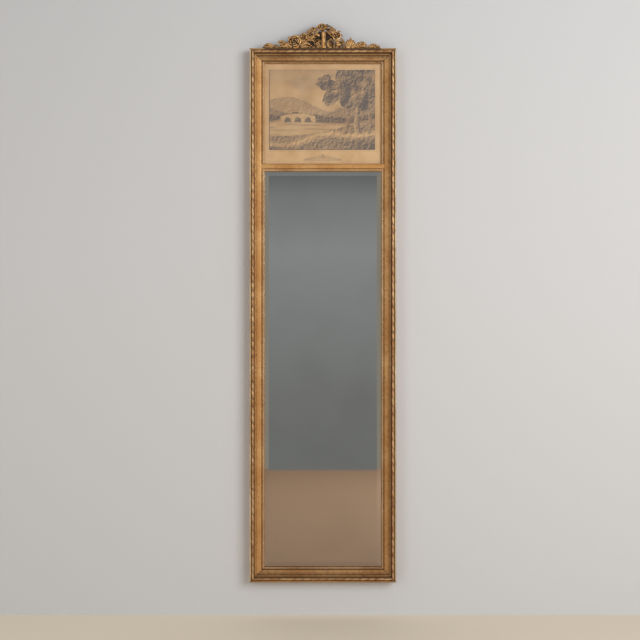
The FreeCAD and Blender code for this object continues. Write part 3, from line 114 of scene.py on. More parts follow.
# Repeatable smooth noise in 0..1 on arrays of coordinates counted in cells.
def smoothNoise(x, y, seed):
    table = np.random.default_rng(seed).random((64, 64))
    column, row = np.floor(x).astype(int), np.floor(y).astype(int)
    shiftX, shiftY = x - column, y - row
    shiftX = shiftX * shiftX * (3 - 2 * shiftX)
    shiftY = shiftY * shiftY * (3 - 2 * shiftY)
    near = table[row % 64, column % 64] * (1 - shiftX) + table[row % 64, (column + 1) % 64] * shiftX
    far = table[(row + 1) % 64, column % 64] * (1 - shiftX)
    far = far + table[(row + 1) % 64, (column + 1) % 64] * shiftX
    return near * (1 - shiftY) + far * shiftY


def layeredNoise(x, y, seed, layers=4):
    total = 0
    weight = 0.5
    for layer in range(layers):
        total = total + weight * smoothNoise(x * 2 ** layer, y * 2 ** layer, seed + layer)
        weight /= 2
    return total / (1 - 0.5 ** layers)


def gridFaces(rows, columns, first=0):
    index = np.arange(rows * columns).reshape(rows, columns) + first
    return np.stack([index[:-1, :-1], index[1:, :-1], index[1:, 1:], index[:-1, 1:]], -1).reshape(-1, 4)


# A closed shell between two grids of points, joined round their rims.
def closedShell(front, back, frontTone, backTone):
    rows, columns = front.shape[:2]
    count = rows * columns
    index = np.arange(count).reshape(rows, columns)
    rim = np.concatenate([index[0, :-1], index[:-1, -1], index[-1, :0:-1], index[:0:-1, 0]])
    after = np.roll(rim, -1)
    faces = [gridFaces(rows, columns), gridFaces(rows, columns, count)[:, ::-1],
             np.stack([rim, after, after + count, rim + count], -1)]
    vertices = np.concatenate([front.reshape(-1, 3), back.reshape(-1, 3)])
    tones = np.concatenate([np.broadcast_to(frontTone, (rows, columns)).ravel(),
                            np.broadcast_to(backTone, (rows, columns)).ravel()])
    return vertices, np.concatenate(faces), tones


# Several (vertices, faces, tones) shells as one.
def joinShells(shells):
    vertices, faces, tones = [], [], []
    first = 0
    for points, quads, tone in shells:
        vertices.append(points)
        faces.extend((quads + first).tolist())
        tones.append(tone)
        first += len(points)
    return np.concatenate(vertices), faces, np.concatenate(tones)


# Turns arrays into a mesh whose normals point outwards; tones go into the given attribute, by default the
# one of painted shade and dirt.
def meshFrom(name, vertices, faces, tones=None, attribute="recess"):
    mesh = bpy.data.meshes.new(name)
    mesh.from_pydata(np.asarray(vertices).tolist(), [], [list(face) for face in faces])
    if tones is not None:
        layer = mesh.attributes.new(attribute, "FLOAT", "POINT")
        layer.data.foreach_set("value", np.clip(tones, 0, 1).astype(np.float32))
    work = bmesh.new()
    work.from_mesh(mesh)
    bmesh.ops.recalc_face_normals(work, faces=work.faces)
    work.to_mesh(mesh)
    work.free()
    mesh.polygons.foreach_set("use_smooth", [True] * len(mesh.polygons))
    mesh.update()
    return mesh


def newObject(name, mesh):
    piece = bpy.data.objects.new(name, mesh)
    bpy.context.scene.collection.objects.link(piece)
    return piece


# Finishes a piece: its materials, its body, and the CAD parts that it stands for, which are hidden.
def finishPiece(piece, materials, nodes):
    for material in materials:
        piece.data.materials.append(material)
    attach(piece, "frame")
    if nodes:
        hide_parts(*nodes)
    return piece


def sharpenBy(mesh, degrees):
    mesh.set_sharp_from_angle(angle=math.radians(degrees))


# Materials.

# Water gilding on carved limewood, aged: burnished leaf over red bole. It gives a warm satin metal
# whose colour wanders and is worn to bole in patches, with painted shade and dirt in dark brown in the
# hollows.
def gildedWood(name, look):
    material, tree = newMaterial(name)
    place = addNode(tree, "ShaderNodeTexCoord").outputs["Object"]
    hollow = addNode(tree, "ShaderNodeAttribute", attribute_name="recess").outputs["Fac"]
    clouds = addNode(tree, "ShaderNodeTexNoise", {"Vector": place, "Scale": 1 / look["cloudSize"],
                                                  "Detail": 3.0, "Roughness": 0.55}).outputs["Fac"]
    mottle = addNode(tree, "ShaderNodeTexNoise", {"Vector": place, "Scale": 1 / look["mottleSize"],
                                                  "Detail": 5.0, "Roughness": 0.65}).outputs["Fac"]
    grain = addNode(tree, "ShaderNodeTexNoise", {"Vector": place, "Scale": 1 / look["grainSize"],
                                                 "Detail": 3.0}).outputs["Fac"]
    cloudy = addNode(tree, "ShaderNodeMapRange", {"Value": clouds, "From Min": 0.34, "From Max": 0.66})
    leaf = addNode(tree, "ShaderNodeMix", {"Factor": cloudy.outputs["Result"], 6: colour(look["deepLeaf"]),
                                           7: colour(look["paleLeaf"])}, data_type="RGBA")
    wearAndEdgeHighlight = addNode(tree, "ShaderNodeMapRange", {"Value": mottle, "From Min": look["rubFrom"],
                                                  "From Max": look["rubFrom"] + 0.14})
    rubShare = addNode(tree, "ShaderNodeMath", {0: wearAndEdgeHighlight.outputs["Result"], 1: look["rubShare"]},
                       operation="MULTIPLY")
    worn = addNode(tree, "ShaderNodeMix", {"Factor": rubShare.outputs[0], 6: leaf.outputs[2],
                                           7: colour(look["bole"])}, data_type="RGBA")
    # Painted shade and dirt: the mesh's tone, made ragged by the mottle, mixes in the dark brown and takes
    # away shine.
    ragged = addNode(tree, "ShaderNodeMath", {0: mottle, 1: 0.5}, operation="SUBTRACT")
    deep = addNode(tree, "ShaderNodeMath", {0: ragged.outputs[0], 1: look["raggedShadeAndDirt"], 2: hollow},
                   operation="MULTIPLY_ADD")
    shadeAndDirt = addNode(tree, "ShaderNodeMapRange", {"Value": deep.outputs[0], "From Min": look["shadeAndDirtFrom"],
                                                "From Max": look["shadeAndDirtFull"], "To Max": look["shadeAndDirtShare"]})
    surface = addNode(tree, "ShaderNodeMix", {"Factor": shadeAndDirt.outputs["Result"], 6: worn.outputs[2],
                                              7: colour(look["shadeAndDirt"])}, data_type="RGBA")
    shine = addNode(tree, "ShaderNodeMath", {0: shadeAndDirt.outputs["Result"], 1: -0.8 * look["metal"],
                                             2: look["metal"]}, operation="MULTIPLY_ADD")
    rough = addNode(tree, "ShaderNodeMath", {0: mottle, 1: 0.22, 2: look["roughness"] - 0.11},
                    operation="MULTIPLY_ADD")
    rougher = addNode(tree, "ShaderNodeMath", {0: shadeAndDirt.outputs["Result"], 1: 0.3, 2: rough.outputs[0]},
                      operation="MULTIPLY_ADD")
    height = addNode(tree, "ShaderNodeMath", {0: mottle, 1: 2.0, 2: grain}, operation="MULTIPLY_ADD")
    bump = addNode(tree, "ShaderNodeBump", {"Height": height.outputs[0], "Strength": look["bump"],
                                            "Distance": 0.0004})
    shader = addNode(tree, "ShaderNodeBsdfPrincipled", {
        "Base Color": surface.outputs[2], "Metallic": shine.outputs[0], "Roughness": rougher.outputs[0],
        "Normal": bump.outputs["Normal"]})
    linkSurface(tree, shader.outputs["BSDF"])
    return material


# The dark brown and its From, Full and Share values set the painted shade and dirt in the hollows.
gilding = {
    "deepLeaf": "#BA8448", "paleLeaf": "#D4A569", "bole": "#8A5630", "shadeAndDirt": "#3A2210",
    "cloudSize": 0.11, "mottleSize": 0.011, "grainSize": 0.0012,
    "rubFrom": 0.54, "rubShare": 0.4, "raggedShadeAndDirt": 0.4, "shadeAndDirtFrom": 0.26, "shadeAndDirtFull": 0.75,
    "shadeAndDirtShare": 0.85, "metal": 0.42, "roughness": 0.42, "bump": 0.35,
}
railGilding = gildedWood("water_gilding_on_moulding", gilding)
ornamentGilding = gildedWood("water_gilding_on_ornament", {
    **gilding, "deepLeaf": "#A87644", "paleLeaf": "#DDB482", "mottleSize": 0.02, "cloudSize": 0.03,
    "rubShare": 0.5, "shadeAndDirtFrom": 0.15, "shadeAndDirtFull": 0.8})
pearlGilding = gildedWood("pale_water_gilding_on_pearls", {
    **gilding, "deepLeaf": "#B3946F", "paleLeaf": "#D6B994", "mottleSize": 0.006, "rubShare": 0.2,
    "shadeAndDirtFrom": 0.3, "shadeAndDirtFull": 0.95})
# The carvings take a darker brown over a wider range: stronger painted shade and dirt.
carvingGilding = gildedWood("water_gilding_on_carving", {
    **gilding, "deepLeaf": "#B47C3A", "paleLeaf": "#FAC988", "mottleSize": 0.005, "cloudSize": 0.02,
    "rubShare": 0.3, "shadeAndDirt": "#211207", "shadeAndDirtFrom": 0.05, "shadeAndDirtFull": 0.42, "shadeAndDirtShare": 0.98,
    "metal": 0.5})
# Gilding on the outer edge of the stiles, pale and dull: a painted highlight.
edgeHighlightGilding = gildedWood("pale_gilding_as_edge_highlight", {
    **gilding, "deepLeaf": "#B39468", "paleLeaf": "#D9BE98", "metal": 0.25, "rubShare": 0.25})
# The board in the ground between the carvings, dark, brown and nearly matt: painted shade.
groundShadeGilding = gildedWood("dark_ground_as_painted_shade", {
    **gilding, "deepLeaf": "#2E1B0C", "paleLeaf": "#54351A", "bole": "#3A2210", "metal": 0.1,
    "roughness": 0.7})


# Pine board, planed by hand and darkened by age: straight grain that runs up the board, with a dry
# matt face and dusty brown stains.
def agedPine(name, look):
    material, tree = newMaterial(name)
    place = addNode(tree, "ShaderNodeTexCoord").outputs["Object"]
    stretched = addNode(tree, "ShaderNodeMapping", {"Vector": place, "Scale": look["grainScale"]})
    rings = addNode(tree, "ShaderNodeTexNoise", {"Vector": stretched.outputs["Vector"], "Scale": 1.0,
                                                 "Detail": 6.0, "Roughness": 0.6, "Distortion": 0.6})
    stains = addNode(tree, "ShaderNodeTexNoise", {"Vector": place, "Scale": 1 / look["stainSize"],
                                                  "Detail": 4.0})
    ring = addNode(tree, "ShaderNodeMapRange", {"Value": rings.outputs["Fac"], "From Min": 0.35,
                                                "From Max": 0.65})
    wood = addNode(tree, "ShaderNodeMix", {"Factor": ring.outputs["Result"], 6: colour(look["late"]),
                                           7: colour(look["early"])}, data_type="RGBA")
    stain = addNode(tree, "ShaderNodeMapRange", {"Value": stains.outputs["Fac"], "From Min": 0.5,
                                                 "From Max": 0.75, "To Max": 0.6})
    stained = addNode(tree, "ShaderNodeMix", {"Factor": stain.outputs["Result"], 6: wood.outputs[2],
                                              7: colour(look["stain"])}, data_type="RGBA")
    rough = addNode(tree, "ShaderNodeMapRange", {"Value": rings.outputs["Fac"], "To Min": 0.68,
                                                 "To Max": 0.9})
    bump = addNode(tree, "ShaderNodeBump", {"Height": rings.outputs["Fac"], "Strength": 0.4,
                                            "Distance": 0.0004})
    shader = addNode(tree, "ShaderNodeBsdfPrincipled", {
        "Base Color": stained.outputs[2], "Roughness": rough.outputs["Result"],
        "Normal": bump.outputs["Normal"]})
    linkSurface(tree, shader.outputs["BSDF"])
    return material


pine = {"late": "#7A5533", "early": "#A88660", "stain": "#4C3620", "stainSize": 0.16,
        "grainScale": (420, 420, 9)}
upGrain = agedPine("aged_pine_upright_grain", pine)
levelGrain = agedPine("aged_pine_level_grain", {**pine, "grainScale": (9, 420, 420)})


# Silvered plate glass, ground and polished: a clean, slightly grey reflection with a trace of waviness
# and faint grey tarnish.
def silveredPlate(look):
    material, tree = newMaterial("silvered_plate_glass")
    place = addNode(tree, "ShaderNodeTexCoord").outputs["Object"]
    waves = addNode(tree, "ShaderNodeTexNoise", {"Vector": place, "Scale": 1 / look["waveSize"]})
    haze = addNode(tree, "ShaderNodeTexNoise", {"Vector": place, "Scale": 1 / look["hazeSize"],
                                                "Detail": 5.0})
    tarnish = addNode(tree, "ShaderNodeMapRange", {"Value": haze.outputs["Fac"], "From Min": 0.45,
                                                   "From Max": 0.8})
    silver = addNode(tree, "ShaderNodeMix", {"Factor": tarnish.outputs["Result"], 6: colour(look["silver"]),
                                             7: colour(look["tarnish"])}, data_type="RGBA")
    rough = addNode(tree, "ShaderNodeMapRange", {"Value": haze.outputs["Fac"], "To Min": 0.01,
                                                 "To Max": 0.05})
    bump = addNode(tree, "ShaderNodeBump", {"Height": waves.outputs["Fac"], "Strength": 0.03,
                                            "Distance": 0.0003})
    shader = addNode(tree, "ShaderNodeBsdfPrincipled", {
        "Base Color": silver.outputs[2], "Metallic": 1.0, "Roughness": rough.outputs["Result"],
        "Normal": bump.outputs["Normal"]})
    linkSurface(tree, shader.outputs["BSDF"])
    return material


mirrorSilver = silveredPlate({"silver": "#D9DBD9", "tarnish": "#D1D3D0", "waveSize": 0.12,
                              "hazeSize": 0.2})


# Thin window glass over the print: nearly invisible, with a soft reflection that grows at a slant.
def windowGlass(look):
    material, tree = newMaterial("thin_window_glass")
    place = addNode(tree, "ShaderNodeTexCoord").outputs["Object"]
    dust = addNode(tree, "ShaderNodeTexNoise", {"Vector": place, "Scale": 1 / look["dustSize"],
                                                "Detail": 4.0})
    rough = addNode(tree, "ShaderNodeMapRange", {"Value": dust.outputs["Fac"], "To Min": 0.01,
                                                 "To Max": 0.06})
    edge = addNode(tree, "ShaderNodeFresnel", {"IOR": 1.5})
    share = addNode(tree, "ShaderNodeMath", {0: edge.outputs["Fac"], 1: look["reflection"]},
                    operation="MULTIPLY")
    clear = addNode(tree, "ShaderNodeBsdfTransparent", {"Color": colour(look["tint"])})
    gloss = addNode(tree, "ShaderNodeBsdfGlossy", {"Roughness": rough.outputs["Result"],
                                                   "Color": (1, 1, 1, 1)})
    both = addNode(tree, "ShaderNodeMixShader", {0: share.outputs[0], 1: clear.outputs[0],
                                                 2: gloss.outputs[0]})
    linkSurface(tree, both.outputs[0])
    return material


printGlass = windowGlass({"tint": "#FFFFFF", "dustSize": 0.05, "reflection": 0.4})


# Laid paper with an etched picture, foxed and browned by light: matt, warm, with ink that lies in
# fine strokes rather than in flat tints.
def etchedPaper(look):
    material, tree = newMaterial("etching_on_laid_paper")
    place = addNode(tree, "ShaderNodeTexCoord").outputs["Object"]
    ink = addNode(tree, "ShaderNodeAttribute", attribute_name="ink").outputs["Fac"]
    fibres = addNode(tree, "ShaderNodeTexNoise", {"Vector": place, "Scale": 1 / look["fibreSize"],
                                                  "Detail": 6.0, "Roughness": 0.7})
    foxing = addNode(tree, "ShaderNodeTexNoise", {"Vector": place, "Scale": 1 / look["foxingSize"],
                                                  "Detail": 4.0})
    strokes = addNode(tree, "ShaderNodeTexWave", {"Vector": place, "Scale": 1 / look["strokeSize"],
                                                  "Distortion": 3.0, "Detail": 2.0, "Detail Scale": 1.5},
                      bands_direction="DIAGONAL")
    browned = addNode(tree, "ShaderNodeMapRange", {"Value": foxing.outputs["Fac"], "From Min": 0.4,
                                                   "From Max": 0.7})
    paper = addNode(tree, "ShaderNodeMix", {"Factor": browned.outputs["Result"], 6: colour(look["paper"]),
                                            7: colour(look["browned"])}, data_type="RGBA")
    cut = addNode(tree, "ShaderNodeMapRange", {"Value": strokes.outputs["Fac"], "To Min": 0.72,
                                               "To Max": 1.22})
    speck = addNode(tree, "ShaderNodeMapRange", {"Value": fibres.outputs["Fac"], "From Min": 0.3,
                                                 "From Max": 0.7, "To Min": 0.8, "To Max": 1.15})
    inked = addNode(tree, "ShaderNodeMath", {0: ink, 1: cut.outputs["Result"]}, operation="MULTIPLY")
    inkShare = addNode(tree, "ShaderNodeMath", {0: inked.outputs[0], 1: speck.outputs["Result"]},
                       operation="MULTIPLY", use_clamp=True)
    printed = addNode(tree, "ShaderNodeMix", {"Factor": inkShare.outputs[0], 6: paper.outputs[2],
                                              7: colour(look["ink"])}, data_type="RGBA")
    rough = addNode(tree, "ShaderNodeMapRange", {"Value": fibres.outputs["Fac"], "To Min": 0.78,
                                                 "To Max": 0.95})
    bump = addNode(tree, "ShaderNodeBump", {"Height": fibres.outputs["Fac"], "Strength": 0.15,
                                            "Distance": 0.0002})
    shader = addNode(tree, "ShaderNodeBsdfPrincipled", {
        "Base Color": printed.outputs[2], "Roughness": rough.outputs["Result"],
        "Normal": bump.outputs["Normal"]})
    linkSurface(tree, shader.outputs["BSDF"])
    return material


printPaper = etchedPaper({"paper": "#DAB78C", "browned": "#CCA67A", "ink": "#56555A",
                          "fibreSize": 0.0016, "foxingSize": 0.06, "strokeSize": 0.0035})


# A material whose one colour wanders a little: metal, rubber and card of the unseen back.
def plainFinish(name, look):
    material, tree = newMaterial(name)
    place = addNode(tree, "ShaderNodeTexCoord").outputs["Object"]
    spots = addNode(tree, "ShaderNodeTexNoise", {"Vector": place, "Scale": 1 / look["spotSize"],
                                                 "Detail": 5.0, "Roughness": 0.6})
    blend = addNode(tree, "ShaderNodeMapRange", {"Value": spots.outputs["Fac"], "From Min": 0.4,
                                                 "From Max": 0.68})
    tint = addNode(tree, "ShaderNodeMix", {"Factor": blend.outputs["Result"], 6: colour(look["colour"]),
                                           7: colour(look["aged"])}, data_type="RGBA")
    rough = addNode(tree, "ShaderNodeMapRange", {"Value": spots.outputs["Fac"],
                                                 "To Min": look["roughness"] - 0.1,
                                                 "To Max": look["roughness"] + 0.15})
    bump = addNode(tree, "ShaderNodeBump", {"Height": spots.outputs["Fac"], "Strength": look["bump"],
                                            "Distance": 0.0002})
    shader = addNode(tree, "ShaderNodeBsdfPrincipled", {
        "Base Color": tint.outputs[2], "Roughness": rough.outputs["Result"], "Metallic": look["metal"],
        "Normal": bump.outputs["Normal"]})
    linkSurface(tree, shader.outputs["BSDF"])
    return material


# Zinc-plated steel screws and brackets gone dull, with darker blooms.
dullSteel = plainFinish("dull_zinc_plated_steel", {"colour": "#9A9993", "aged": "#6A655C", "spotSize": 0.006,
                                                   "roughness": 0.42, "bump": 0.15, "metal": 1.0})
# Rolled sheet brass and brass wire, unlacquered: browned where it isn't rubbed.
dullBrass = plainFinish("unlacquered_brass", {"colour": "#B8965A", "aged": "#84673A", "spotSize": 0.008,
                                              "roughness": 0.36, "bump": 0.15, "metal": 1.0})
# Moulded black rubber with a dusty bloom.
agedRubber = plainFinish("moulded_black_rubber", {"colour": "#1D1B19", "aged": "#35312C", "spotSize": 0.005,
                                                  "roughness": 0.75, "bump": 0.3, "metal": 0.0})
# Grey-brown pasteboard behind the print, with visible fibres.
pasteboard = plainFinish("grey_pasteboard", {"colour": "#8A7558", "aged": "#75624A", "spotSize": 0.003,
                                             "roughness": 0.85, "bump": 0.3, "metal": 0.0})
say("materials made")


# Moulded rails: one section, swept and mitred.

moulding = {  # millimetres: widths run inwards from the outer edge, heights forwards from the back
    "filletWidth": 5, "filletHeight": 33, "edgeRound": 2,
    "grooveWidth": 2.5, "grooveHeight": 29,
    "ribbonWidth": 7.5, "ribbonHeight": 34,
    "coveWidth": 4, "coveHeight": 26, "beadWidth": 4,
    "lineWidth": 1.5, "lineHeight": 22.5, "friezeOuter": 24, "friezeInner": 22.5,
    "pearlGroove": 3, "pearlGrooveHeight": 18, "pearlSeat": 7, "pearlSeatHeight": 19,
    "glassOverlap": 8, "glassRebate": 14, "boardOverlap": 18, "boardRebate": 6,
    "wornEdge": 0.7, "wavinessDepth": 0.25, "wavinessLength": 70, "station": 11,
    # The next lines set the painted shade and dirt: in the hollows, under the crest, on upright and level
    # members and on the fine line.
    "hollowWindow": 2.6, "hollowDepth": 6.0, "underCrestReach": 8, "underCrestHalf": 203, "underCrestFade": 14,
    "uprightShadeAndDirt": 0.85, "levelShadeAndDirt": 1.4, "lineShadeAndDirt": 0.4,
    # A painted shade for each member: the right stile and the rails darker than the left stile.
    "memberShade": {"gilded_left_stile": 0.06, "gilded_right_stile": 0.33, "gilded_top_rail": 0.42,
               "gilded_bottom_rail": 0.4},
}


# Rounds each corner (u, v, radius) of an open outline.
def roundedOutline(corners, steps=4):
    points = []
    for number, (u, v, radius) in enumerate(corners):
        here = np.array((u, v), float)
        if radius == 0 or number in (0, len(corners) - 1):
            points.append(here)
            continue
        before = np.array(corners[number - 1][:2], float) - here
        after = np.array(corners[number + 1][:2], float) - here
        reach = min(radius, np.linalg.norm(before) * 0.45, np.linalg.norm(after) * 0.45)
        start = here + before / np.linalg.norm(before) * reach
        end = here + after / np.linalg.norm(after) * reach
        for step in range(steps + 1):
            t = step / steps
            points.append((1 - t) ** 2 * start + 2 * t * (1 - t) * here + t ** 2 * end)
    return points


def arcPoints(centre, radius, first, last, steps):
    angles = np.radians(np.linspace(first, last, steps + 1))
    return [(centre[0] + radius * math.cos(a), centre[1] + radius * math.sin(a), 0) for a in angles]


# Front outline of the moulding, from the outer back corner over the ornament to the sight edge.
def mouldingFront(m):
    width = mouldingWidth / mm
    worn = m["wornEdge"]
    groove = m["filletWidth"] + m["grooveWidth"]
    cove = groove + m["ribbonWidth"]
    bead = cove + m["coveWidth"]
    line = bead + m["beadWidth"]
    frieze = line + m["lineWidth"]
    seat = width - m["pearlSeat"]
    edge = seat - m["pearlGroove"]
    coveTop = m["coveHeight"] + m["coveWidth"]
    beadRadius = m["beadWidth"] / 2
    corners = [(0, 0, 0), (0, m["filletHeight"], m["edgeRound"]),
               (m["filletWidth"], m["filletHeight"], worn), (m["filletWidth"], m["grooveHeight"], 0.4),
               (groove, m["grooveHeight"], 0.4), (groove, m["ribbonHeight"], worn),
               (cove, m["ribbonHeight"], worn)]
    corners += arcPoints((bead, coveTop), m["coveWidth"], 180, 270, 6)
    corners += arcPoints((bead + beadRadius, m["coveHeight"]), beadRadius, 180, 0, 8)
    corners += [(line, m["lineHeight"], 0.3), (frieze, m["lineHeight"], 0.3),
                (frieze, m["friezeOuter"], worn), (edge, m["friezeInner"], worn),
                (edge, m["pearlGrooveHeight"], 0.5), (seat, m["pearlGrooveHeight"], 0.5),
                (seat, m["pearlSeatHeight"], 0.3), (width, m["pearlSeatHeight"], worn),
                (width, m["glassRebate"], 0)]
    return roundedOutline(corners)


# Back outline with the rebates of glass and boards, back to the outer corner.
def mouldingBack(m):
    width = mouldingWidth / mm
    return [(width - m["glassOverlap"], m["glassRebate"]), (width - m["glassOverlap"], m["boardRebate"]),
            (width - m["boardOverlap"], m["boardRebate"]), (width - m["boardOverlap"], 0)]


# How deep each outline point lies below what stands beside it, from 0 to 1.
def hollowness(outline, m):
    u, v = outline[:, 0], outline[:, 1]
    beside = np.abs(u[:, None] - u[None, :]) < m["hollowWindow"]
    highest = np.where(beside, v[None, :], -1).max(axis=1)
    return np.clip((highest - v) / m["hollowDepth"], 0, 1)


# A mitred length of an outline. corner, inward and along place it in the world.
def sweptMember(name, corner, inward, along, length, nodes):
    m = moulding
    front = np.array(mouldingFront(m))
    outline = np.concatenate([front, np.array(mouldingBack(m))])
    # Painted shade: each outline point darker by the depth of its hollow; the outer side a little darker.
    hollow = hollowness(outline, m)
    hollow[outline[:, 0] < 0.01] = 0.12
    hollow[len(front):] = 0.4
    count = len(outline)
    reach = length / mm
    inner = np.arange(2, reach - 2, m["station"]) / reach
    stations = np.concatenate([[0, 0.7 / reach], inner, [1 - 0.7 / reach, 1]])
    u = np.broadcast_to(outline[:, 0], (len(stations), count)).copy()
    v = np.broadcast_to(outline[:, 1], (len(stations), count)).copy()
    s = u + stations[:, None] * (reach - 2 * u)
    seed = sum(ord(letter) for letter in name)
    fade = np.clip(np.minimum(stations, 1 - stations) * reach / 25, 0, 1)[:, None]
    wave = smoothNoise(s / m["wavinessLength"], u / 9, seed) * fade
    v = v - np.where(v > m["glassRebate"], wave * m["wavinessDepth"], 0)
    sway = smoothNoise(s / (2 * m["wavinessLength"]), 0 * s, seed + 7) * fade
    u = u + np.where(u < m["filletWidth"], 0.08 + sway * m["wavinessDepth"], 0)
    joint = np.exp(-np.minimum(s - u, reach - u - s) / 0.8)
    # Painted shade and dirt on the top rail's outer fillet, under the crest.
    crestShadeAndDirt = np.clip((m["underCrestHalf"] - np.abs(s - reach / 2)) / m["underCrestFade"], 0, 1)
    crestShadeAndDirt = 0.6 * crestShadeAndDirt * (u < m["underCrestReach"]) * (along[0] < 0)
    share = m["levelShadeAndDirt"] if abs(along[0]) > 0.5 else m["uprightShadeAndDirt"]
    # The painted shade and dirt, stronger on the level rails than on the stiles, are weaker on the fine line
    # beside the bead.
    lessShaded = (u > 19.5) & (u < 32)
    share = np.where(lessShaded, share * m["lineShadeAndDirt"], share)
    # The tone: painted shade in the hollows and for each member, painted shade and dirt under the crest, and
    # dark mitre joints.
    tone = np.clip(share * hollow[None, :] + m["memberShade"][name] + 0.55 * joint + crestShadeAndDirt, 0, 1)
    points = (np.array(corner)[None, None, :] + (u * mm)[..., None] * np.array(inward)
              + (v * mm)[..., None] * np.array((0, -1, 0)) + (s * mm)[..., None] * np.array(along))
    rows = len(stations)
    index = np.arange(rows * count).reshape(rows, count)
    across = np.roll(index, -1, axis=1)
    quads = np.stack([index[:-1], index[1:], across[1:], across[:-1]], -1).reshape(-1, 4).tolist()
    quads += [index[0].tolist(), index[-1][::-1].tolist()]
    mesh = meshFrom(name, points.reshape(-1, 3), quads, tone.ravel())
    backSide = np.zeros(len(quads), dtype=np.int32)
    edge = (outline[:, 0] < m["filletWidth"] - 0.6) & (outline[:, 1] > m["grooveHeight"])
    section = np.where(np.arange(count) >= len(front) - 1, 1, np.where(edge, 2, 0))
    backSide[:-2] = np.tile(section, rows - 1)
    mesh.polygons.foreach_set("material_index", backSide)
    sharpenBy(mesh, 50)
    grain = upGrain if abs(along[2]) > 0.5 else levelGrain
    # The stiles' outer fillet takes the paler, duller gilding: a painted highlight.
    wearAndEdgeHighlight = edgeHighlightGilding if abs(along[2]) > 0.5 else railGilding
    return finishPiece(newObject(name, mesh), [railGilding, grain, wearAndEdgeHighlight], nodes)


def makeMouldings():
    back = frameBack
    height = frameTop - frameBottom
    sweptMember("gilded_left_stile", (-halfWidth, back, frameTop), (1, 0, 0), (0, 0, -1), height,
                ["left_stile"])
    sweptMember("gilded_right_stile", (halfWidth, back, frameBottom), (-1, 0, 0), (0, 0, 1), height,
                ["right_stile"])
    sweptMember("gilded_top_rail", (halfWidth, back, frameTop), (0, 0, -1), (-1, 0, 0), 2 * halfWidth,
                ["top_rail"])
    sweptMember("gilded_bottom_rail", (-halfWidth, back, frameBottom), (0, 0, 1), (1, 0, 0),
                2 * halfWidth, ["bottom_rail"])
    say("mouldings swept")


middleRail = {  # millimetres: widths run down from the rail's upper edge
    "lipWidth": 1.5, "lipHeight": 21, "lineWidth": 1.5, "lineHeight": 20, "wornEdge": 0.6,
    "tongueEnds": 8, "station": 10, "wavinessDepth": 0.2, "wavinessLength": 60,
}


# A straight closed bar of an outline (u down from the rail's top, v forwards) between two places on X.
def levelBar(outline, low, high, seed):
    r = middleRail
    outline = np.array(outline, float)
    steps = max(2, round((high - low) / r["station"]))
    across = np.linspace(low, high, steps + 1)
    u = np.broadcast_to(outline[:, 0], (steps + 1, len(outline)))
    wave = smoothNoise(across[:, None] / r["wavinessLength"] + 40, u / 9 + 3, seed)
    v = outline[None, :, 1] - np.where(outline[None, :, 1] > 17, wave * r["wavinessDepth"], 0)
    x = np.broadcast_to(across[:, None], u.shape)
    points = np.stack([x * mm, frameBack - v * mm, railHigh[2] - u * mm], -1)
    index = np.arange(points.shape[0] * points.shape[1]).reshape(points.shape[:2])
    after = np.roll(index, -1, axis=1)
    quads = np.stack([index[:-1], index[1:], after[1:], after[:-1]], -1).reshape(-1, 4).tolist()
    quads += [index[0].tolist(), index[-1][::-1].tolist()]
    # Painted shade: darker by the depth of each hollow.
    tone = np.broadcast_to(hollowness(outline, moulding), u.shape).copy()
    return points.reshape(-1, 3), quads, tone.ravel()


def makeMiddleRail():
    m, r = moulding, middleRail
    face = (railHigh[2] - railLow[2]) / mm
    seat = face - m["pearlSeat"]
    groove = seat - m["pearlGroove"]
    line = r["lipWidth"] + r["lineWidth"]
    worn = r["wornEdge"]
    flat = roundedOutline([(0, m["glassRebate"], 0), (0, r["lipHeight"], worn),
                           (r["lipWidth"], r["lipHeight"], worn), (r["lipWidth"], r["lineHeight"], 0.2),
                           (line, r["lineHeight"], 0.2), (line, m["friezeInner"], worn),
                           (groove, m["friezeInner"], worn), (groove, m["pearlGrooveHeight"], 0.4),
                           (seat, m["pearlGrooveHeight"], 0.2), (seat, m["glassRebate"], 0)])
    rest = roundedOutline([(seat, m["glassRebate"], 0), (seat, m["pearlSeatHeight"], 0.3),
                           (face, m["pearlSeatHeight"], worn), (face, m["glassRebate"], 0)])
    tongue = [(m["glassOverlap"], m["boardRebate"]), (m["glassOverlap"], m["glassRebate"]),
              (face - m["glassOverlap"], m["glassRebate"]), (face - m["glassOverlap"], m["boardRebate"])]
    opening = halfOpening / mm
    inset = m["pearlSeat"] + m["pearlGroove"]
    vertices, faces, tones = [], [], []
    first = 0
    for outline, reach in ((flat, opening + inset), (rest, opening), (tongue, opening + r["tongueEnds"])):
        points, quads, tone = levelBar(outline, -reach, reach, 31)
        vertices.append(points)
        faces += [[corner + first for corner in quad] for quad in quads]
        tones.append(tone)
        first += len(points)
    mesh = meshFrom("gilded_middle_rail", np.concatenate(vertices), faces, np.concatenate(tones))
    sharpenBy(mesh, 50)
    finishPiece(newObject("gilded_middle_rail", mesh), [railGilding], ["middle_rail"])
    say("middle rail made")


# Geometry Nodes trees for what repeats.

def newTree(name, inputs):
    tree = bpy.data.node_groups.new(name, "GeometryNodeTree")
    tree.interface.new_socket("Geometry", in_out="INPUT", socket_type="NodeSocketGeometry")
    for label, kind in inputs:
        tree.interface.new_socket(label, in_out="INPUT", socket_type=kind)
    tree.interface.new_socket("Geometry", in_out="OUTPUT", socket_type="NodeSocketGeometry")
    return tree, addNode(tree, "NodeGroupInput").outputs


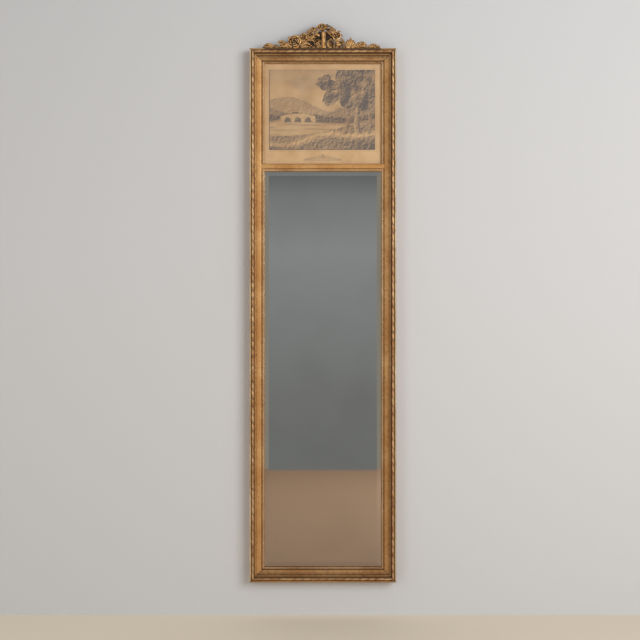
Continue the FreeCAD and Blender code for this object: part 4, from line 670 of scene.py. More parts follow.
# Runs a tree on an empty mesh with the given inputs and returns the plain mesh that it makes.
def runTree(tree, name, values):
    carrier = newObject(name + "_carrier", bpy.data.meshes.new(name + "_empty"))
    modifier = carrier.modifiers.new("repeat", "NODES")
    modifier.node_group = tree
    for item in tree.interface.items_tree:
        if item.item_type == "SOCKET" and item.in_out == "INPUT" and item.name in values:
            modifier[item.identifier] = values[item.name]
    carrier.update_tag()
    depsgraph = bpy.context.evaluated_depsgraph_get()
    mesh = bpy.data.meshes.new_from_object(carrier.evaluated_get(depsgraph))
    carrier.modifiers.remove(modifier)
    bpy.data.objects.remove(carrier)
    mesh.name = name
    return mesh


# Pearls of slightly uneven size on a thread, from a start by equal steps.
def pearlTree():
    tree, given = newTree("pearl_row", [("Start", "NodeSocketVector"), ("Step", "NodeSocketVector"),
                                        ("Count", "NodeSocketInt"), ("Radius", "NodeSocketFloat"),
                                        ("Thread", "NodeSocketFloat"), ("Seed", "NodeSocketInt"),
                                        ("Material", "NodeSocketMaterial")])
    line = addNode(tree, "GeometryNodeMeshLine", {"Count": given["Count"], "Start Location": given["Start"],
                                                  "Offset": given["Step"]}, mode="OFFSET")
    pearl = addNode(tree, "GeometryNodeMeshUVSphere", {"Segments": 10, "Rings": 6,
                                                       "Radius": given["Radius"]})
    uneven = addNode(tree, "FunctionNodeRandomValue", {2: 0.93, 3: 1.0, "Seed": given["Seed"]},
                     data_type="FLOAT")
    turned = addNode(tree, "FunctionNodeRandomValue", {0: (0, 0, 0), 1: (3, 3, 3), "Seed": given["Seed"]},
                     data_type="FLOAT_VECTOR")
    pearls = addNode(tree, "GeometryNodeInstanceOnPoints", {
        "Points": line.outputs[0], "Instance": pearl.outputs[0], "Scale": uneven.outputs[1],
        "Rotation": turned.outputs[0]})
    path = addNode(tree, "GeometryNodeMeshToCurve", {"Mesh": line.outputs[0]})
    ring = addNode(tree, "GeometryNodeCurvePrimitiveCircle", {"Resolution": 6, "Radius": given["Thread"]})
    thread = addNode(tree, "GeometryNodeCurveToMesh", {"Curve": path.outputs[0],
                                                       "Profile Curve": ring.outputs[0],
                                                       "Fill Caps": True})
    joined = addNode(tree, "GeometryNodeJoinGeometry")
    tree.links.new(pearls.outputs[0], joined.inputs[0])
    tree.links.new(thread.outputs[0], joined.inputs[0])
    real = addNode(tree, "GeometryNodeRealizeInstances", {0: joined.outputs[0]})
    smooth = addNode(tree, "GeometryNodeSetShadeSmooth", {0: real.outputs[0]})
    dressed = addNode(tree, "GeometryNodeSetMaterial", {0: smooth.outputs[0], "Material": given["Material"]})
    addNode(tree, "NodeGroupOutput", {0: dressed.outputs[0]})
    return tree


# Copies of one turn of ribbon, end to end, merged where they meet.
def turnTree():
    tree, given = newTree("ribbon_row", [("Turn", "NodeSocketObject"), ("Start", "NodeSocketVector"),
                                         ("Step", "NodeSocketVector"), ("Count", "NodeSocketInt"),
                                         ("Rotation", "NodeSocketRotation"),
                                         ("Material", "NodeSocketMaterial")])
    line = addNode(tree, "GeometryNodeMeshLine", {"Count": given["Count"], "Start Location": given["Start"],
                                                  "Offset": given["Step"]}, mode="OFFSET")
    turn = addNode(tree, "GeometryNodeObjectInfo", {"Object": given["Turn"]})
    turns = addNode(tree, "GeometryNodeInstanceOnPoints", {
        "Points": line.outputs[0], "Instance": turn.outputs["Geometry"], "Rotation": given["Rotation"]})
    real = addNode(tree, "GeometryNodeRealizeInstances", {0: turns.outputs[0]})
    merged = addNode(tree, "GeometryNodeMergeByDistance", {"Geometry": real.outputs[0], "Distance": 0.00002})
    smooth = addNode(tree, "GeometryNodeSetShadeSmooth", {0: merged.outputs[0]})
    dressed = addNode(tree, "GeometryNodeSetMaterial", {0: smooth.outputs[0], "Material": given["Material"]})
    addNode(tree, "NodeGroupOutput", {0: dressed.outputs[0]})
    return tree


# Petals about a centre: copies of one petal turned about the Y axis, each a little uneven.
def petalTree():
    tree, given = newTree("petal_ring", [("Petal", "NodeSocketObject"), ("Centre", "NodeSocketVector"),
                                         ("Count", "NodeSocketInt"), ("Turn", "NodeSocketFloat"),
                                         ("Uneven", "NodeSocketFloat"), ("Seed", "NodeSocketInt"),
                                         ("Material", "NodeSocketMaterial")])
    line = addNode(tree, "GeometryNodeMeshLine", {"Count": given["Count"], "Start Location": given["Centre"],
                                                  "Offset": (0, 0, 0)}, mode="OFFSET")
    number = addNode(tree, "GeometryNodeInputIndex")
    step = addNode(tree, "ShaderNodeMath", {0: -2 * math.pi, 1: given["Count"]}, operation="DIVIDE")
    turned = addNode(tree, "ShaderNodeMath", {0: number.outputs[0], 1: step.outputs[0], 2: given["Turn"]},
                     operation="MULTIPLY_ADD")
    wander = addNode(tree, "FunctionNodeRandomValue", {2: -0.5, 3: 0.5, "Seed": given["Seed"]},
                     data_type="FLOAT")
    angle = addNode(tree, "ShaderNodeMath", {0: wander.outputs[1], 1: given["Uneven"], 2: turned.outputs[0]},
                    operation="MULTIPLY_ADD")
    lean = addNode(tree, "ShaderNodeCombineXYZ", {"Y": angle.outputs[0]})
    growth = addNode(tree, "FunctionNodeRandomValue", {2: 0.94, 3: 1.0, "Seed": given["Seed"]},
                     data_type="FLOAT")
    petal = addNode(tree, "GeometryNodeObjectInfo", {"Object": given["Petal"]})
    petals = addNode(tree, "GeometryNodeInstanceOnPoints", {
        "Points": line.outputs[0], "Instance": petal.outputs["Geometry"], "Rotation": lean.outputs[0],
        "Scale": growth.outputs[1]})
    real = addNode(tree, "GeometryNodeRealizeInstances", {0: petals.outputs[0]})
    smooth = addNode(tree, "GeometryNodeSetShadeSmooth", {0: real.outputs[0]})
    dressed = addNode(tree, "GeometryNodeSetMaterial", {0: smooth.outputs[0], "Material": given["Material"]})
    addNode(tree, "NodeGroupOutput", {0: dressed.outputs[0]})
    return tree


def pointsOf(mesh):
    points = np.empty(len(mesh.vertices) * 3, dtype=np.float32)
    mesh.vertices.foreach_get("co", points)
    return points.reshape(-1, 3)


def setTones(mesh, tones):
    layer = mesh.attributes.get("recess") or mesh.attributes.new("recess", "FLOAT", "POINT")
    layer.data.foreach_set("value", np.clip(tones, 0, 1).astype(np.float32))


# Pearls on the sight edges.

pearls = {"radius": 3.1, "pitch": 8.4, "thread": 1.2, "seed": 11}


def makePearls():
    tree = pearlTree()
    radius = pearls["radius"] * mm
    for number, node in enumerate(("mirror_pearls_left", "mirror_pearls_right", "mirror_pearls_top",
                                   "mirror_pearls_bottom", "print_pearls_left", "print_pearls_right",
                                   "print_pearls_top")):
        low, high = (Vector(corner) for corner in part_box(node))
        seat = high[1]
        upright = high[2] - low[2] > high[0] - low[0]
        axis = Vector((0, 0, 1)) if upright else Vector((1, 0, 0))
        length = (high - low).dot(axis)
        neck = math.sqrt(pearls["radius"] ** 2 - pearls["thread"] ** 2) * mm
        steps = round((length - 2 * neck) / (pearls["pitch"] * mm))
        pitch = (length - 2 * neck) / steps
        middle = (low + high) / 2
        start = middle - axis * (steps * pitch / 2)
        start[1] = seat - 0.0001
        # Painted shade: each pearl darker towards its seat. The print's top row takes the darker ornament
        # gilding, and it and the mirror's bottom row take a deeper tone: painted shade.
        mesh = runTree(tree, node + "_beads", {
            "Start": start, "Step": axis * pitch, "Count": steps + 1, "Radius": radius - 0.0001,
            "Thread": pearls["thread"] * mm, "Seed": pearls["seed"] + number,
            "Material": ornamentGilding if node == "print_pearls_top" else pearlGilding})
        shadeAndDirt = 0.3 if node in ("print_pearls_top", "mirror_pearls_bottom") else 0
        setTones(mesh, ((pointsOf(mesh)[:, 1] - (seat - radius)) / radius) ** 2 * 0.9 + shadeAndDirt)
        piece = newObject(node + "_beads", mesh)
        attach(piece, "frame")
        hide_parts(node)
    say("pearls strung")


# Twisted ribbon on the outer edge.

ribbon = {"radius": 3.7, "waist": 2.5, "pitch": 28.2, "slant": 0.6, "fullness": 0.6, "rows": 16,
          "columns": 9}


# One turn of ribbon wound on a rod: x along, y across, z forwards.
def ribbonTurn(pitch):
    r = ribbon
    along = np.linspace(0, 1, r["rows"] + 1)[:, None]
    angle = np.linspace(0, math.pi, r["columns"])[None, :]
    phase = along + r["slant"] * (angle - math.pi / 2) / math.pi
    swelling = np.abs(np.sin(math.pi * phase)) ** r["fullness"]
    radius = (r["waist"] + (r["radius"] - r["waist"]) * swelling) * mm
    points = np.stack([np.broadcast_to(along * pitch, radius.shape), radius * np.cos(angle),
                       radius * np.sin(angle)], -1)
    # Painted shade: darker at the waists between the swellings and down the sides towards the moulding.
    tone = np.clip(1 - swelling, 0, 1) * 0.7 + 0.8 * (1 - np.sin(angle)) ** 1.2
    return np.concatenate([points, points[:, :1]], axis=1), np.concatenate([tone, tone[:, :1]], axis=1)


# Closes the two open ends of a tube.
def closeEnds(mesh):
    work = bmesh.new()
    work.from_mesh(mesh)
    bmesh.ops.holes_fill(work, edges=[edge for edge in work.edges if edge.is_boundary])
    bmesh.ops.recalc_face_normals(work, faces=work.faces)
    work.to_mesh(mesh)
    work.free()


def makeRibbons():
    tree = turnTree()
    # The turn's own axes (along, across, forwards) in the world, for an upright and for a level run.
    uprightAxes = Matrix(((0, -1, 0), (0, 0, -1), (1, 0, 0))).to_euler()
    levelAxes = Matrix(((1, 0, 0), (0, 0, -1), (0, 1, 0))).to_euler()
    for node in ("ribbon_left", "ribbon_right", "ribbon_top", "ribbon_bottom"):
        low, high = (Vector(corner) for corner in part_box(node))
        upright = high[2] - low[2] > high[0] - low[0]
        axis = Vector((0, 0, 1)) if upright else Vector((1, 0, 0))
        length = (high - low).dot(axis)
        count = round(length / (ribbon["pitch"] * mm))
        pitch = length / count
        points, tone = ribbonTurn(pitch)
        turn = newObject(node + "_turn", meshFrom("turn", points.reshape(-1, 3), gridFaces(*tone.shape),
                                                  tone.ravel()))
        start = (low + high) / 2 - axis * (length / 2)
        start[1] = high[1]
        mesh = runTree(tree, node + "_winding", {
            "Turn": turn, "Start": start, "Step": axis * pitch, "Count": count,
            "Rotation": uprightAxes if upright else levelAxes, "Material": ornamentGilding})
        bpy.data.objects.remove(turn)
        closeEnds(mesh)
        piece = newObject(node + "_winding", mesh)
        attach(piece, "frame")
        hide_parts(node)
    say("ribbons wound")


makeMouldings()
makeMiddleRail()
makePearls()
makeRibbons()


# The etched print.

picture = {  # millimetres on the sheet: margins to the edges of the opening, then the small ornament
    "left": 16.5, "right": 20.5, "top": 19.5, "bottom": 48.5, "step": 1.3,
    "ornamentWidth": 134, "ornamentDrop": 24, "seed": 5,
}


def softStep(value, low, high):
    t = np.clip((value - low) / (high - low), 0, 1)
    return t * t * (3 - 2 * t)


# Strokes that model lumps lit from the upper left: darker where the ground falls away from the light.
def reliefStrokes(u, v, cells, seed):
    x, y = u * cells, v * cells * 0.76
    return layeredNoise(x, y, seed, 3) - layeredNoise(x - 0.35, y + 0.35, seed, 3)


# Ink of an invented river landscape, 0 for bare paper: u runs right and v up, both from 0 to 1.
# Hills and a low bridge on the left, a grove on the right, water and a grassy bank in front.
def landscapeInk(u, v):
    seed = picture["seed"]
    fine = reliefStrokes(u, v, 70, seed + 1)
    clouds = layeredNoise(u * 3, v * 6, seed, 2)
    ink = 0.10 + 0.2 * softStep(clouds, 0.4, 0.75) + 0.2 * softStep(v, 0.7, 1.0) * softStep(0.6 - u, 0, 0.6)
    for height, swing, place, depth in ((0.56, 0.10, 0.6, 0.40), (0.48, 0.07, 2.4, 0.56)):
        ridge = height + swing * np.sin(u * 6.3 + place) + 0.03 * layeredNoise(u * 9, 0 * v, seed + 20)
        hill = softStep(ridge - v, 0, 0.012)
        ink = ink * (1 - hill) + hill * (depth + 0.6 * fine - 0.4 * (ridge - v))
    shore = 0.37 + 0.03 * np.sin(u * 7)
    trees = shore + 0.035 + 0.055 * layeredNoise(u * 15, 0 * v, seed + 41, 2)
    near = softStep(trees - v, 0, 0.01)
    ink = ink * (1 - near) + near * (0.8 + 1.0 * reliefStrokes(u, v, 60, seed + 42))
    water = softStep(shore - v, 0, 0.006)
    ripples = layeredNoise(u * 5, v * 70, seed + 50, 2)
    mirrored = softStep(0.05 - (shore - v), 0, 0.05)
    ink = ink * (1 - water) + water * (0.16 + 0.3 * softStep(ripples, 0.5, 0.8) + 0.4 * mirrored)
    bridgeTop = 0.455 - 1.1 * (u - 0.27) ** 2
    bridge = softStep(bridgeTop - v, 0, 0.006) * softStep(0.17 - np.abs(u - 0.27), 0, 0.01)
    bridge = bridge * softStep(v - 0.34, 0, 0.01)
    arches = 0 * u
    for middle in (0.175, 0.27, 0.365):
        opening = 1.1 - ((u - middle) / 0.035) ** 2 - ((v - 0.34) / 0.07) ** 2
        arches = np.maximum(arches, softStep(opening, 0, 0.3))
    ink = ink * (1 - bridge) + bridge * (0.16 + 0.5 * fine + 0.65 * arches)
    bank = 0.17 + 0.16 * softStep(u, 0.2, 1) + 0.02 * layeredNoise(u * 14, 0 * v, seed + 70)
    front = softStep(bank - v, 0, 0.012)
    path = np.exp(-((v - 0.07 - 0.17 * u + 0.04 * np.sin(u * 9)) / 0.035) ** 2)
    shaded = softStep(u, 0.55, 1) * softStep(0.2 - v, 0, 0.2)
    ground = 0.6 + 1.0 * reliefStrokes(u, v, 50, seed + 72) + 0.3 * shaded
    ground = ground + 0.35 * softStep(0.14 - v, 0, 0.14) * softStep(0.3 - u, 0, 0.3)
    ink = ink * (1 - front) + front * (ground - 0.5 * path)
    for root, lean, width in ((0.72, 0.14, 0.020), (0.84, -0.06, 0.030), (0.94, 0.04, 0.018)):
        middle = root + lean * (v - 0.25) + 0.010 * np.sin(v * 15 + root * 30)
        trunk = softStep(width * (1.3 - v) - np.abs(u - middle), 0, 0.005)
        trunk = trunk * softStep(v - 0.19, 0, 0.02)
        bark = 0.55 + 12 * (u - middle) + 0.9 * fine
        ink = ink * (1 - trunk) + trunk * np.clip(bark, 0.15, 0.95)
    crown = np.full_like(u, -2.0)
    for middle, height, reach in ((0.66, 0.74, 0.13), (0.79, 0.86, 0.19), (0.93, 0.74, 0.16),
                                  (0.57, 0.63, 0.07), (0.98, 0.94, 0.16), (0.77, 0.64, 0.12),
                                  (0.53, 0.84, 0.08), (0.90, 0.58, 0.09)):
        distance = np.hypot(u - middle, (v - height) * 0.85) / reach
        crown = np.maximum(crown, 1 - distance)
    crown = crown + 0.6 * (layeredNoise(u * 34, v * 27, seed + 90, 3) - 0.5)
    leaves = softStep(crown, 0.02, 0.06)
    shade = 0.74 + 1.0 * reliefStrokes(u, v, 12, seed + 91) + 1.0 * reliefStrokes(u, v, 60, seed + 92)
    ink = ink * (1 - leaves) + leaves * shade
    return np.clip(ink + 0.12 * fine, 0.02, 1)


# Ink of a small tied laurel spray with a rosette: x and z in millimetres from its middle.
def sprayInk(x, z):
    ink = np.zeros_like(x)
    half = picture["ornamentWidth"] / 2
    for side in (-1, 1):
        for number in range(8):
            t = (number + 0.5) / 8
            root = 7 + t * (half - 16)
            lean = math.radians(78 - 66 * t)
            length = 21 - 11 * t
            alongX = side * x - root
            alongZ = z + 12
            lengthwise = alongX * math.cos(lean) + alongZ * math.sin(lean) - length / 2
            sideways = alongZ * math.cos(lean) - alongX * math.sin(lean)
            leaf = 1 - np.hypot(lengthwise / (length / 2), sideways / 3.2)
            shade = 0.3 + 0.7 * (sideways > 0)
            ink = np.where(leaf > 0, softStep(leaf, 0, 0.3) * shade, ink)
        ink = np.maximum(ink, 0.8 * np.exp(-((z + 12) / 1.1) ** 2) * (side * x > 0) * (side * x < half))
    reach = np.hypot(x, z)
    turn = np.arctan2(z, x)
    rosette = softStep(11.5 - 2.2 * np.abs(np.sin(turn * 4)) - reach, 0, 1.5)
    ink = np.where(rosette > 0, rosette * (0.35 + 0.5 * np.abs(np.sin(turn * 4)) ** 0.5), ink)
    return np.maximum(ink, softStep(3.2 - reach, 0, 1))


def makePrint():
    p = picture
    low, high = sheetLow, sheetHigh
    columns = round((high[0] - low[0]) / (p["step"] * mm)) + 1
    rows = round((high[2] - low[2]) / (p["step"] * mm)) + 1
    x, z = np.meshgrid(np.linspace(low[0], high[0], columns), np.linspace(low[2], high[2], rows))
    left = -halfOpening + p["left"] * mm
    right = halfOpening - p["right"] * mm
    bottom = railHigh[2] + p["bottom"] * mm
    top = frameTop - mouldingWidth - p["top"] * mm
    u = (x - left) / (right - left)
    v = (z - bottom) / (top - bottom)
    inside = (u > 0) & (u < 1) & (v > 0) & (v < 1)
    ink = np.where(inside, landscapeInk(np.clip(u, 0, 1), np.clip(v, 0, 1)), 0)
    # A ruled line just inside the picture's edge, and the faint dent of the plate round it.
    edge = np.minimum(np.minimum(x - left, right - x), np.minimum(z - bottom, top - z)) / mm
    ink = np.maximum(ink, np.where(np.abs(edge - 0.8) < 0.9, 0.85, 0))
    ink = np.maximum(ink, 0.16 * np.exp(-((edge + 5) / 1.2) ** 2))
    spray = sprayInk(x / mm, (z - bottom) / mm + p["ornamentDrop"])
    ink = np.maximum(ink, 0.46 * spray)
    y = np.full_like(x, low[1] + 0.00002)
    front = np.stack([x, y, z], -1)
    back = front * np.array((1, 0, 1)) + np.array((0, high[1] - 0.00002, 0))
    # Only the face needs the fine grid; the back is one quad and the rim a plain strip.
    index = np.arange(rows * columns).reshape(rows, columns)
    border = np.concatenate([index[0, :-1], index[:-1, -1], index[-1, :0:-1], index[:0:-1, 0]])
    vertices = np.concatenate([front.reshape(-1, 3), back.reshape(-1, 3)[border]])
    count = rows * columns
    ringIndex = count + np.arange(len(border))
    after = np.roll(ringIndex, -1)
    faces = gridFaces(rows, columns).tolist()
    faces += np.stack([border, np.roll(border, -1), after, ringIndex], -1).tolist()
    faces.append(ringIndex[::-1].tolist())
    tones = np.concatenate([ink.ravel(), np.zeros(len(border))])
    mesh = meshFrom("etched_print", vertices, faces, tones, "ink")
    mesh.polygons.foreach_set("use_smooth", [False] * len(mesh.polygons))
    finishPiece(newObject("etched_print", mesh), [printPaper], ["print_sheet"])
    say("print etched: %d faces" % len(mesh.polygons))


makePrint()


# Carved crest.

crestFront = boardLow[1]
crestFoot = boardLow[2]
deepest = cadLow[1]


# Carvings are drawn in millimetres: x across, z above the frame, height in front of the board.
def onCrest(points):
    points = np.asarray(points, float)
    forward = np.minimum(points[..., 2], (crestFront - deepest) / mm - 0.05)
    return np.stack([points[..., 0] * mm, crestFront - forward * mm, crestFoot + points[..., 1] * mm], -1)


def bezierLine(route, t):
    degree = len(route) - 1
    weights = [math.comb(degree, k) * t ** k * (1 - t) ** (degree - k) for k in range(degree + 1)]
    return np.stack(weights, -1) @ np.array(route, float)


carvedLeaf = {  # millimetres and shares: the usual acanthus leaf, changed where a leaf differs
    "rows": 29, "columns": 11, "lobes": 5, "notch": 0.22, "rise": 3.2, "foot": 0.16, "fullness": 0.8,
    "midrib": 0.9, "veins": 0.35, "sunk": 0.3, "undercut": 0.82, "thinnest": 0.25,
}


# A leaf along a route of (x, z, height) points from its root to its tip, carved down to the board.
def leafShell(route, width, **changes):
    look = {**carvedLeaf, **changes}
    t = np.linspace(0, 1, look["rows"])
    s = np.linspace(-1, 1, look["columns"])[None, :]
    line = bezierLine(route, t)
    along = np.gradient(line[:, :2], axis=0)
    along = along / np.linalg.norm(along, axis=1)[:, None]
    side = np.stack([-along[:, 1], along[:, 0]], -1)
    taper = np.sin(math.pi * (look["foot"] + (1 - look["foot"]) * t) ** look["fullness"]) ** 0.75
    tooth = (t * look["lobes"]) % 1
    half = np.maximum(width / 2 * taper * (1 - look["notch"] * (1 - tooth) ** 1.5), look["thinnest"])
    half = half[:, None]
    arch = 1 - 0.75 * s ** 2
    groove = look["midrib"] * np.exp(-(s / 0.17) ** 2)
    veins = look["veins"] * np.sin(2 * math.pi * (t[:, None] * look["lobes"] - 0.5 * np.abs(s))) * np.abs(s)
    fade = np.minimum(1, 4 * (1 - t))[:, None]
    height = line[:, 2:3] + (look["rise"] * arch - groove + veins) * fade
    plan = line[:, None, :2] + side[:, None, :] * (s * half)[..., None]
    backPlan = line[:, None, :2] + side[:, None, :] * (s * half * look["undercut"])[..., None]
    front = np.concatenate([plan, height[..., None]], -1)
    back = np.concatenate([backPlan, np.full_like(height, -look["sunk"])[..., None]], -1)
    # Painted shade: darker along the midrib, at the edges and where each lobe starts; the undercut back
    # dark.
    tone = 0.4 * np.exp(-(s / 0.15) ** 2) * fade + 1.1 * s ** 6 + 0.25 * (1 - tooth[:, None]) ** 3
    return closedShell(onCrest(front), onCrest(back), tone, 1.0)


# A smooth strip along a route, fluted lengthwise like a folded ribbon.
def ribbonShell(route, width, rise=2.6, folds=2):
    t = np.linspace(0, 1, 33)
    s = np.linspace(-1, 1, 13)[None, :]
    line = bezierLine(route, t)
    along = np.gradient(line[:, :2], axis=0)
    along = along / np.linalg.norm(along, axis=1)[:, None]
    side = np.stack([-along[:, 1], along[:, 0]], -1)
    half = (width / 2 * (0.75 + 0.25 * np.sin(t * math.pi * 3 + 0.6)))[:, None]
    fold = 0.5 + 0.5 * np.cos(math.pi * folds * s + 2.2 * t[:, None])
    height = line[:, 2:3] + rise * (1 - 0.6 * s ** 2) * (0.55 + 0.45 * fold)
    plan = line[:, None, :2] + side[:, None, :] * (s * half)[..., None]
    front = np.concatenate([plan, height[..., None]], -1)
    back = np.concatenate([plan, np.full_like(height, -0.3)[..., None]], -1)
    # Painted shade: darker in the troughs of the folds and at the edges; the back dark.
    return closedShell(onCrest(front), onCrest(back), 0.9 * (1 - fold) + 0.4 * s ** 4, 1.0)


# A roll that winds in from its outer end to its eye; turns are counted from the start angle.
def scrollShells(centre, radius, start, turns, thick, rise, eye):
    t = np.linspace(0, 1, 73)[:, None]
    angle = np.linspace(0, math.pi, 11)[None, :]
    reach = (radius - thick) * (1 - t) ** 0.85 + eye * 0.9 * t
    turn = math.radians(start) + 2 * math.pi * turns * t
    tube = thick * (1 - 0.55 * t) * np.minimum(1, 0.35 + 9 * t)
    out = reach + tube * np.cos(angle)
    top = 0.3 + (rise * (0.6 + 0.4 * t)) * np.sin(angle) ** 0.8 * np.minimum(1, 0.5 + 5 * t)
    x = centre[0] + out * np.cos(turn)
    z = centre[1] + out * np.sin(turn)
    groove = 0.35 * np.exp(-((angle - math.pi * 0.42) / 0.16) ** 2) * rise * 0.3
    front = np.stack([x, z, top - groove], -1)
    back = np.stack([x, z, np.full_like(x, -0.3)], -1)
    # Painted shade: darker down both sides of the roll and in its groove; the back dark.
    tone = 0.95 * (1 - np.sin(angle)) + 0.5 * np.exp(-((angle - math.pi * 0.42) / 0.16) ** 2) + 0 * t
    return [closedShell(onCrest(front), onCrest(back), tone, 1.0),
            domeShell(centre, eye, rise * 0.55, rise * 0.45, 0.05)]


# A sunk ground between carvings, a flat plate within the board's thickness, given by its corners; its tone
# darkens it as painted shade.
def groundShell(corners, height=-3.0, tone=1.0):
    corners = np.array(corners, float)
    middle = corners.mean(axis=0)
    rings = middle + (corners - middle) * np.array((0.02, 0.5, 1.0))[:, None, None]
    rings = np.concatenate([rings, rings[:, :1]], axis=1)
    front = np.concatenate([rings, np.full((*rings.shape[:2], 1), height)], -1)
    return closedShell(onCrest(front), onCrest(front - np.array((0, 0, 3.0))), tone, 1.0)


# A round boss: height at its rim, and how far its middle stands above that.
def domeShell(centre, radius, foot, swell, knobs):
    t = np.linspace(0.02, 1, 9)[:, None]
    turn = np.linspace(0, 2 * math.pi, 25)[None, :]
    r = radius * t + 0 * turn
    bumps = knobs * (np.sin(turn * 7 + t * 9) + np.sin(t * 16))
    height = foot + swell * np.sqrt(np.maximum(1 - t ** 2, 0)) + bumps
    front = np.stack([centre[0] + r * np.cos(turn), centre[1] + r * np.sin(turn), height], -1)
    front[:, -1] = front[:, 0]
    back = front.copy()
    back[..., 2] = -0.3
    # Painted shade: darker towards the rim and between the knobs; the back dark.
    return closedShell(onCrest(front), onCrest(back), 0.85 * t ** 4 + 0.5 * np.clip(-bumps * 3, 0, 1), 1.0)


# One petal about the origin, pointing up: the reach of its tip and root, its spread to each side in
# degrees, and its height at the root, the rim and the side edges.
def petalMesh(reach, root, spread, low, high, cup, roll):
    t = np.linspace(0, 1, 9)[:, None]
    s = np.linspace(-1, 1, 9)[None, :]
    r = root + (reach - root) * t
    r = r * (1 - 0.16 * np.abs(s) ** 2.5 * t)
    angle = math.radians(spread) * s * (0.8 + 0.35 * np.sin(math.pi * t * 0.8))
    height = low + (high - low) * t ** 0.8 + cup * s ** 2 * t - roll * np.clip((t - 0.7) / 0.3, 0, 1) ** 2
    height = height + 0.35 * np.sin(s * 9) * t * (1 - t) + 0.5 * s * t
    front = np.stack([r * np.sin(angle), -height, r * np.cos(angle)], -1) * mm
    back = np.stack([r * 0.97 * np.sin(angle), -(height - 1.1), r * 0.97 * np.cos(angle)], -1) * mm
    # Painted shade: darker from the root out towards the rim and at the side edges; the back dark.
    rim = np.clip((t - 0.5) / 0.3, 0, 1)
    tone = 1.1 * (1 - rim * rim * (3 - 2 * rim)) + 1.0 * s ** 6
    shell = closedShell(front, back, tone, 1.0)
    return meshFrom("petal", *shell)


def arraysOf(mesh):
    tones = np.empty(len(mesh.vertices), dtype=np.float32)
    mesh.attributes["recess"].data.foreach_get("value", tones)
    return pointsOf(mesh), np.array([list(face.vertices) for face in mesh.polygons]), tones


# Rings of petals from the outermost in: (count, reach, root, spread, low, high, cup, roll), as shares
# of the flower's radius and rise.
ringsOfRose = ((5, 1.00, 0.30, 35, 0.10, 0.60, -0.16, 0.22), (4, 0.70, 0.16, 43, 0.45, 0.88, -0.14, 0.10),
               (3, 0.38, 0.05, 56, 0.75, 1.00, 0.00, 0.02))
ringsOfBlossom = ((5, 1.00, 0.22, 41, 0.15, 0.80, 0.22, 0.25), (4, 0.58, 0.15, 48, 0.42, 0.98, 0.18, 0.05))
ringsOfBud = ((3, 1.00, 0.10, 62, 0.35, 0.55, 0.10, 0.35), (3, 0.66, 0.05, 62, 0.60, 0.95, 0.05, 0.10))
ringsOfCrown = ((7, 1.00, 0.25, 30, 0.45, 0.75, 0.05, 0.50), (5, 0.66, 0.15, 42, 0.60, 0.95, 0.10, 0.10))

flowers = {  # name: rings, rise in mm, share of the radius taken by the heart, first turn in degrees
    "crest_rose": (ringsOfRose, 10.4, 0.10, 12),
    "crest_small_blossom": (ringsOfBlossom, 6.0, 0.26, 30),
    "crest_blossom": (ringsOfBlossom, 6.2, 0.24, -20),
    "crest_bud": (ringsOfBud, 5.2, 0.14, 45),
    "crest_crown": (ringsOfCrown, 7.6, 0.36, 0),
    "crest_garland_flower": (ringsOfBlossom, 7.2, 0.24, 8),
}


def crestPlace(node):
    low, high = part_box(node)
    middle = ((low[0] + high[0]) / 2 / mm, (low[2] + high[2]) / 2 / mm - crestFoot / mm)
    return middle, (high[0] - low[0]) / 2 / mm, (high[2] - low[2]) / 2 / mm


def finishCarving(name, shells, nodes, degrees=60):
    mesh = meshFrom(name, *joinShells(shells))
    sharpenBy(mesh, degrees)
    return finishPiece(newObject(name, mesh), [carvingGilding], nodes)


def makeFlowers():
    tree = petalTree()
    for number, (node, (rings, rise, heart, turn)) in enumerate(flowers.items()):
        middle, halfX, halfZ = crestPlace(node)
        radius = min(halfX, halfZ) * (1.04 if node == "crest_crown" else 1.12)
        centre = (middle[0] * mm, crestFront, crestFoot + middle[1] * mm)
        shells = [domeShell(middle, radius * 0.7, 0.4, rise * 0.25, 0.0)]
        for ring, (count, reach, root, spread, low, high, cup, roll) in enumerate(rings):
            petal = newObject("petal", petalMesh(reach * radius, root * radius, spread, low * rise,
                                                 high * rise, cup * rise, roll * rise))
            angle = math.radians(turn) + ring * math.pi / count + 0.4 * ring
            mesh = runTree(tree, node + "_ring", {
                "Petal": petal, "Centre": centre, "Count": count, "Turn": angle, "Uneven": 0.16,
                "Seed": 10 * number + ring, "Material": carvingGilding})
            bpy.data.objects.remove(petal)
            points, faces, tones = arraysOf(mesh)
            points[:, 1] = np.maximum(points[:, 1], deepest + 0.0001)
            if node == "crest_crown":
                points = np.array(centre) + (points - np.array(centre)) * np.array((1.22, 1, 0.9))
            shells.append((points, faces, tones))
        shells.append(domeShell(middle, radius * heart, rise * 0.6, rise * 0.36, 0.25))
        finishCarving(node + "_carved", shells, [node])
    say("flowers carved")


